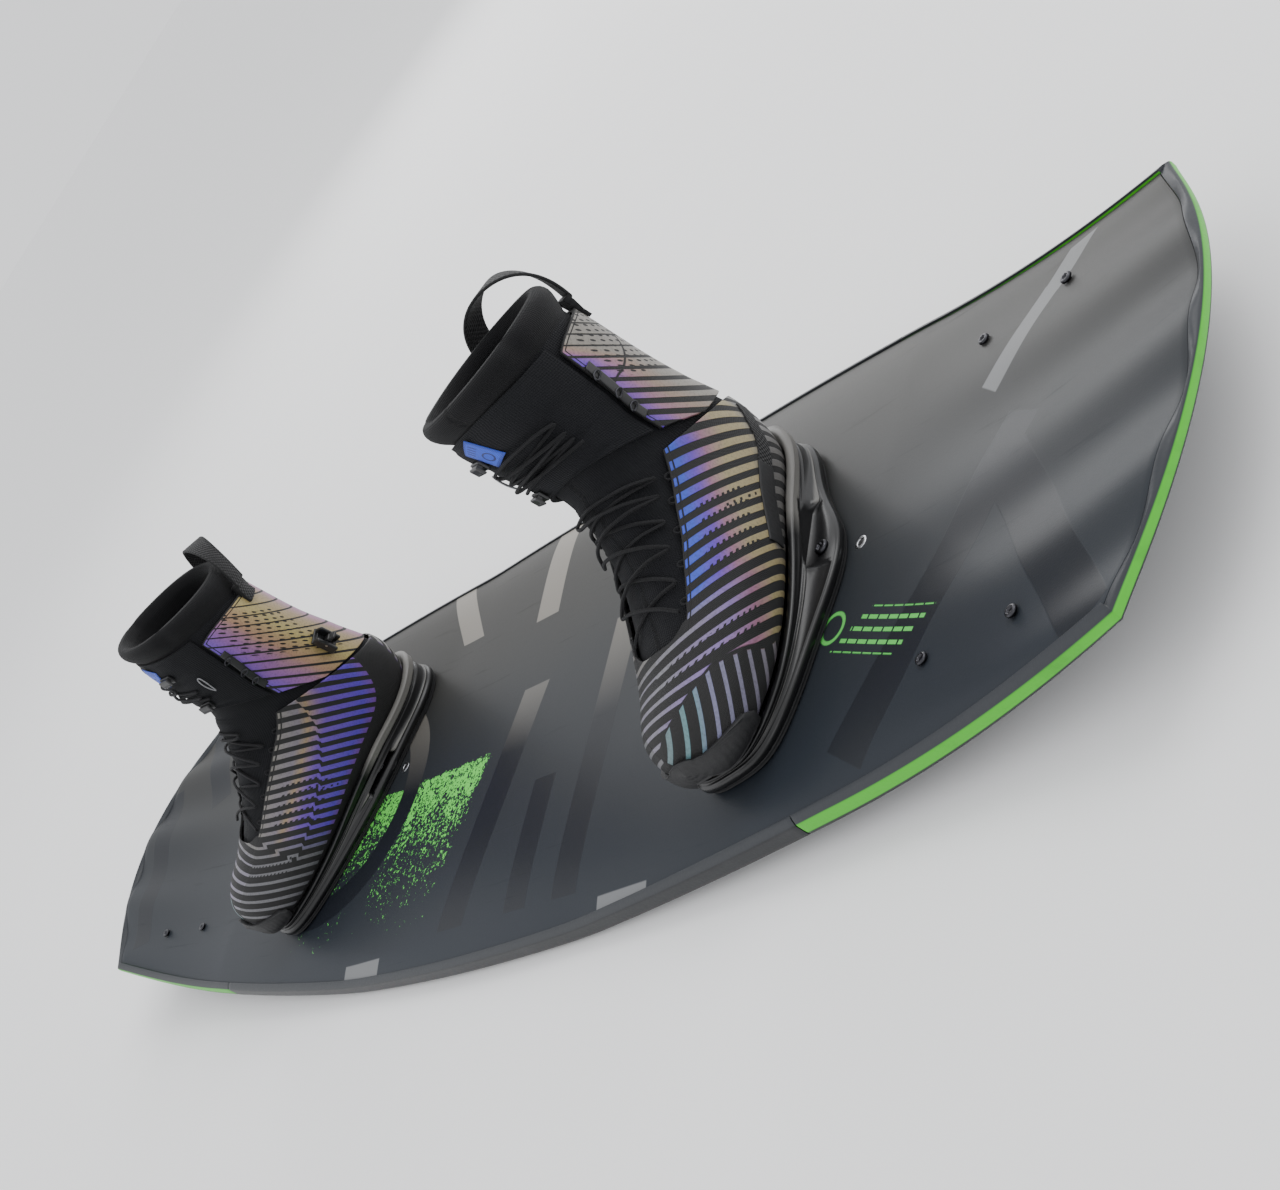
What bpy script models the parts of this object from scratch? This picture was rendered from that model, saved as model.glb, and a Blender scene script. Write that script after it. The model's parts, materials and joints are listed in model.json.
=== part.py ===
"""A wakeboard with a pair of lace-up boots, modelled in metres with +Z up.

The board rests on the flat middle of its base. X runs along the board (+X is the nose), Y across it
(-Y is the toe side, +Y the heel side), and the origin is on the ground under the board's centre.
Each boot is modelled once, as the left one, in its own frame: Z square to the deck, toes towards -Y,
+X on the outer side of the foot. An empty puts it on the board, and a mirrored empty makes the other.
"""

import math

import bmesh
import bpy
import numpy as np
from mathutils import Matrix, Vector

MM = 0.001
GAP = 0.3 * MM

# Board outline and thickness
LENGTH = 1.432
WIDTH = 0.442
TIP_SWEEP = 48 * MM  # how far the tip's corners lie behind its middle
TIP_HALF_WIDTH = 0.1545
CORNER_REACH = 0.003  # share by which the tip's corners stand out
TAPER_POWER = 1.91
RAIL_HEIGHT = 16 * MM
TIP_RAIL_HEIGHT = 10 * MM
CROWN = 7 * MM  # rise of the deck from its edge to its middle
LAMINATE = 2 * MM
EDGE_WIDTH = 6 * MM
GREEN_FROM = 0.62  # share of the length where the coloured tip edges start

# Rocker: flat middle, straight ramps under the boots, curved tips
RAMP_START = 0.170
RAMP_BLEND = 0.020
RAMP_SLOPE = 0.062
TIP_START = 0.440
TIP_SLOPE = 0.342
FLUTE_DEPTH = 3.2 * MM
FLUTE_PITCH = 0.53  # share of the half width from one ridge to the next

# Fastener rows
INSERT_PITCH = 25.4 * MM
INSERT_FIRST = 0.1991
INSERTS = 10
INSERT_RAIL_WIDTH = 18 * MM
INSERT_RAIL_HEIGHT = 7 * MM
M6_RADIUS = 3.0 * MM
M6_CLEARANCE = 3.4 * MM
M4_RADIUS = 2.0 * MM
M4_CLEARANCE = 2.4 * MM
FIN_X = 0.5525
FIN_Y = 0.120
FIN_SCREW_PITCH = 75 * MM
FIN_LENGTH = 100 * MM
FIN_DEPTH = 22 * MM

# Boots
MOUNT_RADIUS = 50.8 * MM  # from the turning centre of a boot to each of its screws
PIVOT_X = 12 * MM  # the turning centre in the boot's frame, towards the outer side
LEFT_PIVOT, RIGHT_PIVOT = 0.3515, -0.2753
LEFT_STANCE, RIGHT_STANCE = 9.0, 21.0  # degrees that the toes point away from the board's middle
LEFT_LEAN_BACK, RIGHT_LEAN_BACK = 0.0, 4.0  # degrees that each cuff has settled back at the ankle
SLOT_CENTRE, SLOT_TRAVEL = 15.0, 12.5  # degrees
SHELL = 2.6 * MM
LINER_OUT, LINER_IN = 4.8 * MM, 9.8 * MM
OVER = 1.9 * MM  # clearance of the pieces that lie round the shell
FLANGE_TOP, FLANGE_BOTTOM = 10.5 * MM, 4.5 * MM
ANKLE = Vector((0, 62 * MM, 105 * MM))
ANKLE_PLANE_SLOPE = -0.48
FRONT_WEDGE, REAR_WEDGE = 12.5, 6.0  # degrees open at the ankle, in front and behind
ANKLE_GAP = 0.8 * MM
LOOP_AXIS = Vector((0, 88.5 * MM, 220 * MM))
LOOP_HALF_WIDTH, LOOP_RISE = 41 * MM, 42 * MM
LACE_RADIUS = 1.3 * MM

# Sections of the boot, toe to collar, in millimetres: the front point and the back point (y, z) that
# the section joins, half its width, its centre's x, where it is widest, and its squareness at the
# back (or sole) and at the front.
SECTIONS = np.array([
    (-164, 38, -164, 38, 0.0, -10, 0.50, 2.2, 2.2),
    (-157, 57, -158, 20, 21.0, -9, 0.45, 2.6, 2.2),
    (-140, 68, -142, 16, 37.0, -7, 0.40, 3.2, 2.2),
    (-108, 77, -110, 14, 47.0, -3, 0.38, 3.4, 2.2),
    (-78, 94, -70, 14, 51.5, 0, 0.36, 3.2, 2.1),
    (-53, 115, -20, 15, 51.0, 2, 0.36, 2.8, 2.0),
    (-36, 135, 40, 16, 47.5, 1, 0.42, 2.6, 2.1),
    (-27, 149, 101, 21, 45.5, 0, 0.52, 2.4, 2.2),
    (-22, 162, 123, 60, 46.0, 0, 0.55, 2.2, 2.2),
    (-20, 177, 113, 112, 48.0, 0, 0.55, 2.2, 2.2),
    (-20, 195, 104, 150, 52.5, 0, 0.52, 2.2, 2.2),
    (-21, 226, 98, 194, 57.0, 0, 0.50, 2.2, 2.2),
    (-20, 244, 95, 224, 58.0, 0, 0.50, 2.2, 2.2),
    (-20, 262, 94, 244, 58.5, 0, 0.50, 2.2, 2.2),
], dtype=float)
SECTIONS[:, :6] *= MM
THROAT_STATIONS, THROAT_EDGE = (3.3, 3.7, 4.7, 6.2, 7.7), (152, 147, 140, 127, 114)
THROAT_TOE = 3.3
CUFF_EDGE = 104.0
CUFF_TOP = 11.5
COLLAR_TOP = 12.85

BLACK = (0.012, 0.012, 0.014)


# ---------------------------------------------------------------- scene and objects

def clear_scene():
    for obj in list(bpy.data.objects):
        bpy.data.objects.remove(obj, do_unlink=True)


def new_collection(name, hidden=False):
    collection = bpy.data.collections.new(name)
    bpy.context.scene.collection.children.link(collection)
    collection.hide_render = hidden
    return collection


def material(name, colour, roughness, metallic=0.0):
    found = bpy.data.materials.get(name)
    if found:
        return found
    made = bpy.data.materials.new(name)
    made.use_nodes = True
    shader = made.node_tree.nodes["Principled BSDF"]
    shader.inputs["Base Color"].default_value = (*colour, 1)
    shader.inputs["Roughness"].default_value = roughness
    shader.inputs["Metallic"].default_value = metallic
    return made


def add_object(name, data, mat, parent=None, at=(0, 0, 0), turn=(0, 0, 0)):
    """Links the data as a part; at and turn are in the parent's frame."""
    obj = bpy.data.objects.new(name, data)
    PARTS.objects.link(obj)
    obj.parent = parent
    obj.location = at
    obj.rotation_euler = turn
    if mat:
        data.materials.append(mat)
    return obj


def add_empty(name, parent=None, at=(0, 0, 0), turn=(0, 0, 0), mirrored=False):
    empty = bpy.data.objects.new(name, None)
    empty.empty_display_size = 0.03
    PARTS.objects.link(empty)
    empty.parent = parent
    empty.location = at
    empty.rotation_euler = turn
    empty.scale = (-1 if mirrored else 1, 1, 1)
    return empty


def finished_mesh(name, bm, smooth_angle=35):
    """The mesh with coincident points joined and its faces turned outwards."""
    bmesh.ops.remove_doubles(bm, verts=bm.verts, dist=1e-6)
    bmesh.ops.recalc_face_normals(bm, faces=bm.faces)
    mesh = bpy.data.meshes.new(name)
    bm.to_mesh(mesh)
    bm.free()
    mesh.shade_smooth()
    mesh.set_sharp_from_angle(angle=math.radians(smooth_angle))
    return mesh


def add_cutter(name, bm, parent=None):
    bmesh.ops.recalc_face_normals(bm, faces=bm.faces)
    mesh = bpy.data.meshes.new(name)
    bm.to_mesh(mesh)
    bm.free()
    cutter = bpy.data.objects.new(name, mesh)
    CUTTERS.objects.link(cutter)
    cutter.parent = parent
    cutter.hide_render = True
    cutter.display_type = "WIRE"
    return cutter


def cut(obj, cutter):
    boolean = obj.modifiers.new("cut_" + cutter.name, "BOOLEAN")
    boolean.operation = "DIFFERENCE"
    boolean.solver = "EXACT"
    boolean.object = cutter


def add_bevel(obj, width, segments=1):
    bevel = obj.modifiers.new("rounded_edges", "BEVEL")
    bevel.width = width
    bevel.segments = segments
    bevel.limit_method = "ANGLE"


# ---------------------------------------------------------------- lofted solids

def shell_mesh(name, outer, inner, keep=None, wrap=False):
    """A solid between two grids of points, over the cells that keep marks, with walls round its edges."""
    rows, cols = outer.shape[0] - 1, outer.shape[1] - 1
    keep = np.ones((rows, cols), bool) if keep is None else keep
    bm = bmesh.new()
    layers = [[[bm.verts.new(p) for p in row] for row in grid] for grid in (outer, inner)]
    if wrap:
        for grid in layers:
            for row in grid:
                bm.verts.remove(row[-1])
                row[-1] = row[0]

    def kept(i, j):
        if wrap:
            j %= cols
        return 0 <= i < rows and 0 <= j < cols and keep[i, j]

    top, low = layers
    for i in range(rows):
        for j in range(cols):
            if not keep[i, j]:
                continue
            ring = [(i, j), (i, j + 1), (i + 1, j + 1), (i + 1, j)]
            for half in (ring[:3], (ring[0], ring[2], ring[3])):
                bm.faces.new([top[a][b] for a, b in half])
                bm.faces.new([low[a][b] for a, b in reversed(half)])
            beyond = [(i - 1, j), (i, j + 1), (i + 1, j), (i, j - 1)]
            for side, neighbour in enumerate(beyond):
                if kept(*neighbour):
                    continue
                (a, b), (c, d) = ring[side], ring[(side + 1) % 4]
                bm.faces.new([top[c][d], top[a][b], low[a][b], low[c][d]])
    loose = [v for v in bm.verts if not v.link_faces]
    bmesh.ops.delete(bm, geom=loose, context="VERTS")
    return finished_mesh(name, bm)


def loft_bmesh(rings, caps=True):
    """Quads between rings of points, each ring closed, with flat ends."""
    bm = bmesh.new()
    verts = [[bm.verts.new(p) for p in ring] for ring in rings]
    for one, two in zip(verts, verts[1:]):
        for j in range(len(one)):
            k = (j + 1) % len(one)
            bm.faces.new([one[j], one[k], two[k], two[j]])
    if caps:
        bm.faces.new(verts[0][::-1])
        bm.faces.new(verts[-1])
    return bm


def prism_bmesh(outline, low, high):
    """An outline of (x, y) points stood up from low to high."""
    return loft_bmesh([[(x, y, z) for x, y in outline] for z in (low, high)])


def cylinder_into(bm, centre, radius, low, high, sides, slope=0.0):
    """Adds an upright cylinder, leaning by slope along X, to bm."""
    turn = Matrix.Rotation(-math.atan(slope), 4, "Y")
    place = Matrix.Translation(centre) @ turn @ Matrix.Translation((0, 0, (low + high) / 2))
    bmesh.ops.create_cone(bm, cap_ends=True, segments=sides, radius1=radius, radius2=radius,
                          depth=high - low, matrix=place)


def turned_object(name, profile, mat, steps, parent=None, at=(0, 0, 0), turn=(0, 0, 0)):
    """A turned piece: the profile runs down its outer side, top to bottom, as (radius, height)."""
    mesh = bpy.data.meshes.new(name)
    points = [(radius, 0, height) for radius, height in profile]
    mesh.from_pydata(points, [(i, i + 1) for i in range(len(points) - 1)], [])
    obj = add_object(name, mesh, mat, parent, at, turn)
    screw = obj.modifiers.new("turned", "SCREW")
    screw.axis = "Z"
    screw.steps = screw.render_steps = steps
    screw.use_merge_vertices = True
    screw.merge_threshold = 1e-5
    screw.use_normal_calculate = False
    return obj


def screw_profile(head_radius, head_height, shank_radius, length):
    chamfer = 0.6 * MM
    return [(0, head_height), (head_radius - chamfer, head_height), (head_radius, head_height - chamfer),
            (head_radius, 0), (shank_radius, 0), (shank_radius, -length), (0, -length)]


def add_cord(name, points, radius, mat, parent):
    curve = bpy.data.curves.new(name, "CURVE")
    curve.dimensions = "3D"
    curve.bevel_depth = radius
    curve.bevel_resolution = 1
    curve.use_fill_caps = True
    spline = curve.splines.new("POLY")
    spline.points.add(len(points) - 1)
    for point, co in zip(spline.points, points):
        point.co = (*co, 1)
    return add_object(name, curve, mat, parent)


# ---------------------------------------------------------------- the board's surfaces

U_HALF = (0.15, 0.21, 0.28, 0.45, GREEN_FROM, 0.72, 0.82, 0.90, 0.96, 1.0)
U_LINES = np.array([-u for u in reversed(U_HALF)] + [0.0] + list(U_HALF))
V_LINES = np.array([-1, -0.8, -0.53, -0.27, 0, 0.27, 0.53, 0.8, 1])


def board_xy(u, v, inset=0.0):
    """Plan position: u and v run from -1 to 1 along and across the board."""
    corner = 1 + CORNER_REACH * (u * u * v * v) ** 6
    x = u * (LENGTH / 2 - TIP_SWEEP * v * v - inset) * corner
    y = v * (WIDTH / 2 - (WIDTH / 2 - TIP_HALF_WIDTH) * np.abs(u) ** TAPER_POWER - inset) * corner
    return x, y


def rocker(x):
    """Height of the base above the ground."""
    a = np.abs(x)
    blend = np.clip(a - (RAMP_START - RAMP_BLEND), 0, 2 * RAMP_BLEND)
    ramp = RAMP_SLOPE * (blend ** 2 / (4 * RAMP_BLEND) + np.maximum(a - RAMP_START - RAMP_BLEND, 0))
    tip = np.maximum(a - TIP_START, 0)
    growth = (TIP_SLOPE - RAMP_SLOPE) / (LENGTH / 2 - TIP_START)
    return ramp + growth * tip ** 2 / 2


def flute(x, v):
    ramp = np.clip((np.abs(x) - TIP_START) / (LENGTH / 2 - TIP_START), 0, 1)
    return FLUTE_DEPTH * ramp * np.cos(2 * math.pi * v / FLUTE_PITCH) * (1 - v ** 8)


def rail_height(x):
    thin = np.clip((np.abs(x) - TIP_START) / (LENGTH / 2 - TIP_START), 0, 1)
    return RAIL_HEIGHT + (TIP_RAIL_HEIGHT - RAIL_HEIGHT) * thin


def base_z(u, v, inset=0.0):
    x, _ = board_xy(u, v, inset)
    return rocker(x) + np.minimum(flute(x, v), 0)


def deck_z(u, v, inset=0.0):
    x, _ = board_xy(u, v, inset)
    fade = (1 - 0.4 * np.clip((np.abs(x) - TIP_START) / (LENGTH / 2 - TIP_START), 0, 1))
    crown = CROWN * fade * (1 - np.abs(v) ** 8) * (1 - np.abs(u) ** 20)
    return rocker(x) + rail_height(x) + crown + flute(x, v)


def board_layer(top, bottom, inset):
    """Two grids of points, from height functions of u and v."""
    u, v = np.meshgrid(U_LINES, V_LINES, indexing="ij")
    x, y = board_xy(u, v, inset)
    return np.stack([x, y, top(u, v)], -1), np.stack([x, y, bottom(u, v)], -1)


def facet_height(surface, x, y):
    """Height at (x, y) on the flat facets that the grid lines make of a surface."""
    u, v = x / (LENGTH / 2), y / (WIDTH / 2)
    for _ in range(30):
        px, py = board_xy(u, v)
        u, v = u + (x - px) / (LENGTH / 2), v + (y - py) / (WIDTH / 2)
    i = min(max(np.searchsorted(U_LINES, u) - 1, 0), len(U_LINES) - 2)
    j = min(max(np.searchsorted(V_LINES, v) - 1, 0), len(V_LINES) - 2)
    a = (u - U_LINES[i]) / (U_LINES[i + 1] - U_LINES[i])
    b = (v - V_LINES[j]) / (V_LINES[j + 1] - V_LINES[j])
    near = (1 - b) * surface(U_LINES[i], V_LINES[j]) + b * surface(U_LINES[i], V_LINES[j + 1])
    far = (1 - b) * surface(U_LINES[i + 1], V_LINES[j]) + b * surface(U_LINES[i + 1], V_LINES[j + 1])
    return float((1 - a) * near + a * far)


# ---------------------------------------------------------------- board parts

def insert_places(side):
    return [side * (INSERT_FIRST + INSERT_PITCH * n) for n in range(INSERTS)]


def deck_on_ramp(x):
    """Height of the deck's straight ramp on the centre line."""
    return RAIL_HEIGHT + CROWN + RAMP_SLOPE * (abs(x) - RAMP_START)


def deck_seat(x, y):
    """Height of the deck at a point, and its slope along X."""
    ends = [facet_height(deck_z, x + shift, y) for shift in (-4 * MM, 4 * MM)]
    return sum(ends) / 2, (ends[1] - ends[0]) / (8 * MM)


def fin_places():
    for end, along in (("nose", 1), ("tail", -1)):
        for edge, across in (("toe", -1), ("heel", 1)):
            yield f"{end}_{edge}", along * FIN_X, across * FIN_Y, along


def edge_strip(name, path, mat):
    """A moulding round part of the outline: path holds its (u, v) stations."""
    rings = []
    for u, v in path:
        height = rail_height(board_xy(u, v)[0])
        rise = rocker(board_xy(u, v)[0])
        lip = deck_z(u, v, EDGE_WIDTH)
        if abs(v) == 1:
            lip = deck_z(u, v * (1 - EDGE_WIDTH / (WIDTH / 2)))
        section = ((EDGE_WIDTH, rise), (2.5 * MM, rise), (0, rise + 0.3 * height),
                   (0, rise + height - 3 * MM), (1.5 * MM, rise + height - 0.5 * MM), (EDGE_WIDTH, lip))
        rings.append([(*board_xy(u, v, inset), z) for inset, z in section])
    add_object(name, finished_mesh(name, loft_bmesh(rings)), mat)


def make_edges():
    green = material("green_edge", (0.16, 0.62, 0.05), 0.4)
    black = material("black_edge", (0.015, 0.016, 0.018), 0.45)
    split = 0.5 * MM / (LENGTH / 2)
    tip = [u for u in U_HALF if u > GREEN_FROM]
    across = [float(v) for v in V_LINES[1:-1]]
    for name, side in (("nose_edge", 1), ("tail_edge", -1)):
        path = [(GREEN_FROM + split, -1.0)] + [(u, -1.0) for u in tip]
        path += [(1.0, v) for v in across] + [(u, 1.0) for u in reversed(tip)]
        path += [(GREEN_FROM + split, 1.0)]
        edge_strip(name, [(side * u, v) for u, v in path], green)
    middle = [float(u) for u in U_LINES if abs(u) < GREEN_FROM]
    for name, v in (("toe_side_edge", -1.0), ("heel_side_edge", 1.0)):
        us = [-GREEN_FROM + split] + middle + [GREEN_FROM - split]
        edge_strip(name, [(u, v) for u in us], black)


def make_core_and_skins():
    inset = EDGE_WIDTH + GAP
    layers = {
        "base_laminate": (lambda u, v: base_z(u, v) + LAMINATE, base_z,
                          material("base_laminate", (0.02, 0.021, 0.024), 0.35)),
        "foam_core": (lambda u, v: deck_z(u, v, inset) - LAMINATE - GAP,
                      lambda u, v: base_z(u, v) + LAMINATE + GAP,
                      material("foam_core", (0.78, 0.74, 0.6), 0.9)),
        "top_laminate": (lambda u, v: deck_z(u, v, inset), lambda u, v: deck_z(u, v, inset) - LAMINATE,
                         material("top_laminate", (0.035, 0.04, 0.047), 0.35)),
    }
    made = {}
    for name, (top, bottom, mat) in layers.items():
        upper, lower = board_layer(top, bottom, inset)
        made[name] = add_object(name, shell_mesh(name, upper, lower), mat)

    holes = bmesh.new()
    grooves = bmesh.new()
    for side in (1, -1):
        for x in insert_places(side):
            cylinder_into(holes, (x, 0, deck_on_ramp(x)), 5.5 * MM, -LAMINATE - 1 * MM, 4 * MM, 8,
                          side * RAMP_SLOPE)
        insert_rail_box(grooves, side, 0.5 * MM, 3 * MM)
    cut(made["top_laminate"], add_cutter("insert_holes", holes))
    cut(made["foam_core"], add_cutter("insert_grooves", grooves))
    through = bmesh.new()
    for _, x, y, along in fin_places():
        for shift in (-0.5, 0.5):
            top, slope = deck_seat(x + shift * FIN_SCREW_PITCH, y)
            cylinder_into(through, (x + shift * FIN_SCREW_PITCH, y, top), M4_CLEARANCE, -0.05, 0.02, 8, slope)
    fin_holes = add_cutter("fin_screw_holes", through)
    for layer in made.values():
        cut(layer, fin_holes)


def insert_rail_box(bm, side, margin=0.0, upwards=0.0):
    """The block of an insert rail, in the slope of the deck, grown by a margin."""
    places = insert_places(side)
    middle = (places[0] + places[-1]) / 2
    length = abs(places[-1] - places[0]) + 20 * MM + 2 * margin
    top = -LAMINATE - GAP + upwards
    bottom = -LAMINATE - GAP - INSERT_RAIL_HEIGHT - margin
    size = (length, INSERT_RAIL_WIDTH + 2 * margin, top - bottom)
    turn = Matrix.Rotation(-math.atan(side * RAMP_SLOPE), 4, "Y")
    place = Matrix.Translation((middle, 0, deck_on_ramp(middle))) @ turn
    place = place @ Matrix.Translation((0, 0, (top + bottom) / 2)) @ Matrix.Diagonal((*size, 1))
    bmesh.ops.create_cube(bm, size=1, matrix=place)


def make_insert_rails():
    steel = material("stainless_steel", (0.6, 0.61, 0.62), 0.3, 1.0)
    for name, side in (("left_insert_rail", 1), ("right_insert_rail", -1)):
        block = bmesh.new()
        insert_rail_box(block, side)
        rail = add_object(name, finished_mesh(name, block), steel)
        threads = bmesh.new()
        for x in insert_places(side):
            cylinder_into(threads, (x, 0, deck_on_ramp(x)), M6_CLEARANCE, -0.02, 0.01, 8, side * RAMP_SLOPE)
        cut(rail, add_cutter(name + "_threads", threads))


def make_fins():
    black = material("fin_nylon", (0.014, 0.014, 0.016), 0.4)
    steel = material("stainless_steel", (0.6, 0.61, 0.62), 0.3, 1.0)
    outline = [(math.cos(a), math.sin(a)) for a in np.radians(np.arange(0, 360, 36))]
    # each level: share of the depth, share of the length, thickness, and sweep towards the middle
    levels = ((0.0, 1.0, 10.0, 0.0), (0.18, 0.96, 9.0, 0.0), (0.34, 0.88, 5.0, 0.01), (0.8, 0.66, 4.0, 0.05),
              (1.0, 0.5, 2.5, 0.08))
    for name, x, y, along in fin_places():
        rings = []
        for depth, length, thickness, sweep in levels:
            ring = []
            for cx, cy in outline:
                px = x + along * (-sweep * FIN_LENGTH) + cx * length * FIN_LENGTH / 2
                py = y + cy * thickness * MM / 2
                ring.append((px, py, facet_height(base_z, px, py) - GAP - 0.2 * MM - depth * FIN_DEPTH))
            rings.append(ring)
        fin = add_object("fin_" + name, finished_mesh("fin_" + name, loft_bmesh(rings)), black)
        holes = bmesh.new()
        for place, shift in (("inner", -along), ("outer", along)):
            sx = x + shift * FIN_SCREW_PITCH / 2
            top, slope = deck_seat(sx, y)
            depth = top - facet_height(base_z, sx, y) + 6.5 * MM
            cylinder_into(holes, (sx, y, top), M4_CLEARANCE, -depth, 0, 8, slope)
            turned_object(f"fin_screw_{name}_{place}", screw_profile(4.2 * MM, 2.0 * MM, M4_RADIUS, depth),
                          steel, 8, at=(sx, y, top + 0.7 * MM), turn=(0, -math.atan(slope), 0))
        cut(fin, add_cutter("fin_holes_" + name, holes))


# ---------------------------------------------------------------- the boot's surface

def boot_section(station):
    """Section values at any station, smooth through the given sections."""
    last = len(SECTIONS) - 1
    station = np.clip(station, 0, last)
    i = np.minimum(station.astype(int), last - 1)
    t = (station - i)[..., None]
    here, there = SECTIONS[i], SECTIONS[i + 1]
    before, after = SECTIONS[np.maximum(i - 1, 0)], SECTIONS[np.minimum(i + 2, last)]
    leave = np.where((i == 0)[..., None], there - here, (there - before) / 2)
    arrive = np.where((i == last - 1)[..., None], there - here, (after - here) / 2)
    return ((2 * t ** 3 - 3 * t ** 2 + 1) * here + (t ** 3 - 2 * t ** 2 + t) * leave
            + (3 * t ** 2 - 2 * t ** 3) * there + (t ** 3 - t ** 2) * arrive)


def boot_points(station, angle, inset=0.0):
    """Points on the boot: angle in degrees is 0 at the heel or sole, 90 outside, 180 in front."""
    station, angle, inset = np.broadcast_arrays(np.asarray(station, float), np.asarray(angle, float),
                                                np.asarray(inset, float))
    values = boot_section(station)
    front, back = values[..., 0:2].copy(), values[..., 2:4].copy()
    half, centre, widest, square_back, square_front = (values[..., n] for n in range(4, 9))
    shrink = inset * np.clip(station, 0, 1)
    span = back - front
    size = np.linalg.norm(span, axis=-1)
    along = span / np.maximum(size, 1e-6)[..., None]
    front += along * shrink[..., None]
    back -= along * shrink[..., None]
    half = np.maximum(half - shrink, 0)
    turn = np.radians(angle)
    cosine, sine = np.cos(turn), np.sin(turn)
    power = 2 / np.where(cosine > 0, square_back, square_front)
    across = half * np.sign(sine) * np.abs(sine) ** power
    reach = np.abs(cosine) ** power
    share = np.where(cosine > 0, widest * (1 - reach), widest + (1 - widest) * reach)
    place = back + (front - back) * share[..., None]
    toe_shift = inset * np.clip(1 - station / 3, 0, 1) ** 2
    return np.stack([centre + across, place[..., 0] + toe_shift, place[..., 1]], -1)


def ankle_side(points, upper):
    """How far points are past the lower pieces' top plane, or past the upper pieces' lower V."""
    level = math.hypot(1, ANKLE_PLANE_SLOPE)
    dy, dz = points[..., 1] - ANKLE.y, points[..., 2] - ANKLE.z
    height = (dz - ANKLE_PLANE_SLOPE * dy) / level
    along = (dy + ANKLE_PLANE_SLOPE * dz) / level
    if not upper:
        return height + ANKLE_GAP
    front = math.tan(math.radians(FRONT_WEDGE)) * np.maximum(-along, 0)
    rear = math.tan(math.radians(REAR_WEDGE)) * np.maximum(along, 0)
    return height - ANKLE_GAP - front - rear


def ankle_cut(angle, inset, upper):
    """The station where the ankle's cut crosses each angle."""
    angle = np.asarray(angle, float)
    low, high = np.full(angle.shape, 6.0), np.full(angle.shape, 11.0)
    for _ in range(40):
        middle = (low + high) / 2
        above = ankle_side(boot_points(middle, angle, inset), upper) > 0
        high = np.where(above, middle, high)
        low = np.where(above, low, middle)
    return (low + high) / 2


def throat_edge(station):
    return np.interp(station, THROAT_STATIONS, THROAT_EDGE)


# ---------------------------------------------------------------- boot parts

def boot_patch(name, stations, angles, outer, inner, keep=None, wrap=False, pivot=None):
    """A layer of the boot between two insets, over grids of stations and angles."""
    grids = [boot_points(stations, angles, inset) for inset in (outer, inner)]
    if pivot:
        grids = [grid - np.array(pivot) for grid in grids]
    return shell_mesh(name, grids[0], grids[1], keep, wrap)


def lower_stations(fixed, free, angles, inset):
    """Rows at fixed stations, then rows spaced up to the ankle cut."""
    top = ankle_cut(angles[-1], inset, upper=False)
    rows = [np.full(angles.shape[1], s) for s in fixed]
    rows += [fixed[-1] + (top - fixed[-1]) * share for share in free]
    return np.array(rows)


FOOT_ROWS = (0.0, 0.5, 1.0, 1.6, 2.3, 3.3, 4.1, 4.9, 5.7, 6.3)
FREE_ROWS = (0.35, 0.7, 1.0)


def make_vamp(side, frame):
    count = len(FOOT_ROWS) + len(FREE_ROWS)
    nominal = np.array(FOOT_ROWS + tuple(6.3 + 1.4 * f for f in FREE_ROWS))
    shares = np.linspace(-1, 1, 15)
    edges = throat_edge(nominal)
    front = np.linspace(0, 1, 4)[1:]
    angles = np.array([np.concatenate([shares * e, e + (360 - 2 * e) * front]) for e in edges])
    stations = lower_stations(FOOT_ROWS, FREE_ROWS, angles, SHELL / 2)
    keep = np.ones((count - 1, angles.shape[1] - 1), bool)
    for row in range(count - 1):
        if nominal[row] >= THROAT_TOE:
            keep[row, len(shares) - 1:] = False
    mesh = boot_patch(side + "_vamp", stations, angles, 0, SHELL, keep, wrap=True)
    add_object(side + "_vamp", mesh, material("striped_shell", (0.05, 0.05, 0.06), 0.4), frame)


def make_inner_boot(side, frame):
    angles = np.tile(np.linspace(-180, 180, 17), (len(FOOT_ROWS) + len(FREE_ROWS), 1))
    stations = lower_stations(FOOT_ROWS, FREE_ROWS, angles, (LINER_OUT + LINER_IN) / 2)
    mesh = boot_patch(side + "_inner_boot", stations, angles, LINER_OUT, LINER_IN, wrap=True)
    add_object(side + "_inner_boot", mesh, material("black_mesh", BLACK, 0.85), frame)


def make_footbed(side, frame):
    stations = np.array(FOOT_ROWS[3:])
    angles = np.tile(np.linspace(-67.5, 67.5, 7), (len(stations), 1))
    rows = np.repeat(stations[:, None], angles.shape[1], axis=1)
    mesh = boot_patch(side + "_footbed", rows, angles, LINER_IN + OVER, LINER_IN + OVER + 3 * MM)
    add_object(side + "_footbed", mesh, material("grey_foam", (0.12, 0.12, 0.13), 0.9), frame)


def make_toe_cap(side, frame):
    stations = np.array(FOOT_ROWS[:5])
    half = [20, 40, 60, 80, 103, 125, 150, 180]
    angles = np.tile([-a for a in reversed(half)] + [0] + half, (len(stations), 1))
    rows = np.repeat(stations[:, None], angles.shape[1], axis=1)
    keep = np.ones((len(stations) - 1, angles.shape[1] - 1), bool)
    middles = (angles[0, 1:] + angles[0, :-1]) / 2
    keep[1, np.abs(middles) < 30] = False
    keep[2:, (np.abs(middles) > 103) | (np.abs(middles) < 60)] = False
    mesh = boot_patch(side + "_toe_cap", rows, angles, -OVER - 2.2 * MM, -OVER, keep, wrap=True)
    add_object(side + "_toe_cap", mesh, material("black_rubber", BLACK, 0.6), frame)


def upper_rows(angles, inset, top, shares):
    start = ankle_cut(angles, inset, upper=True)
    return np.array([start + (top - start) * share for share in shares])


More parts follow.
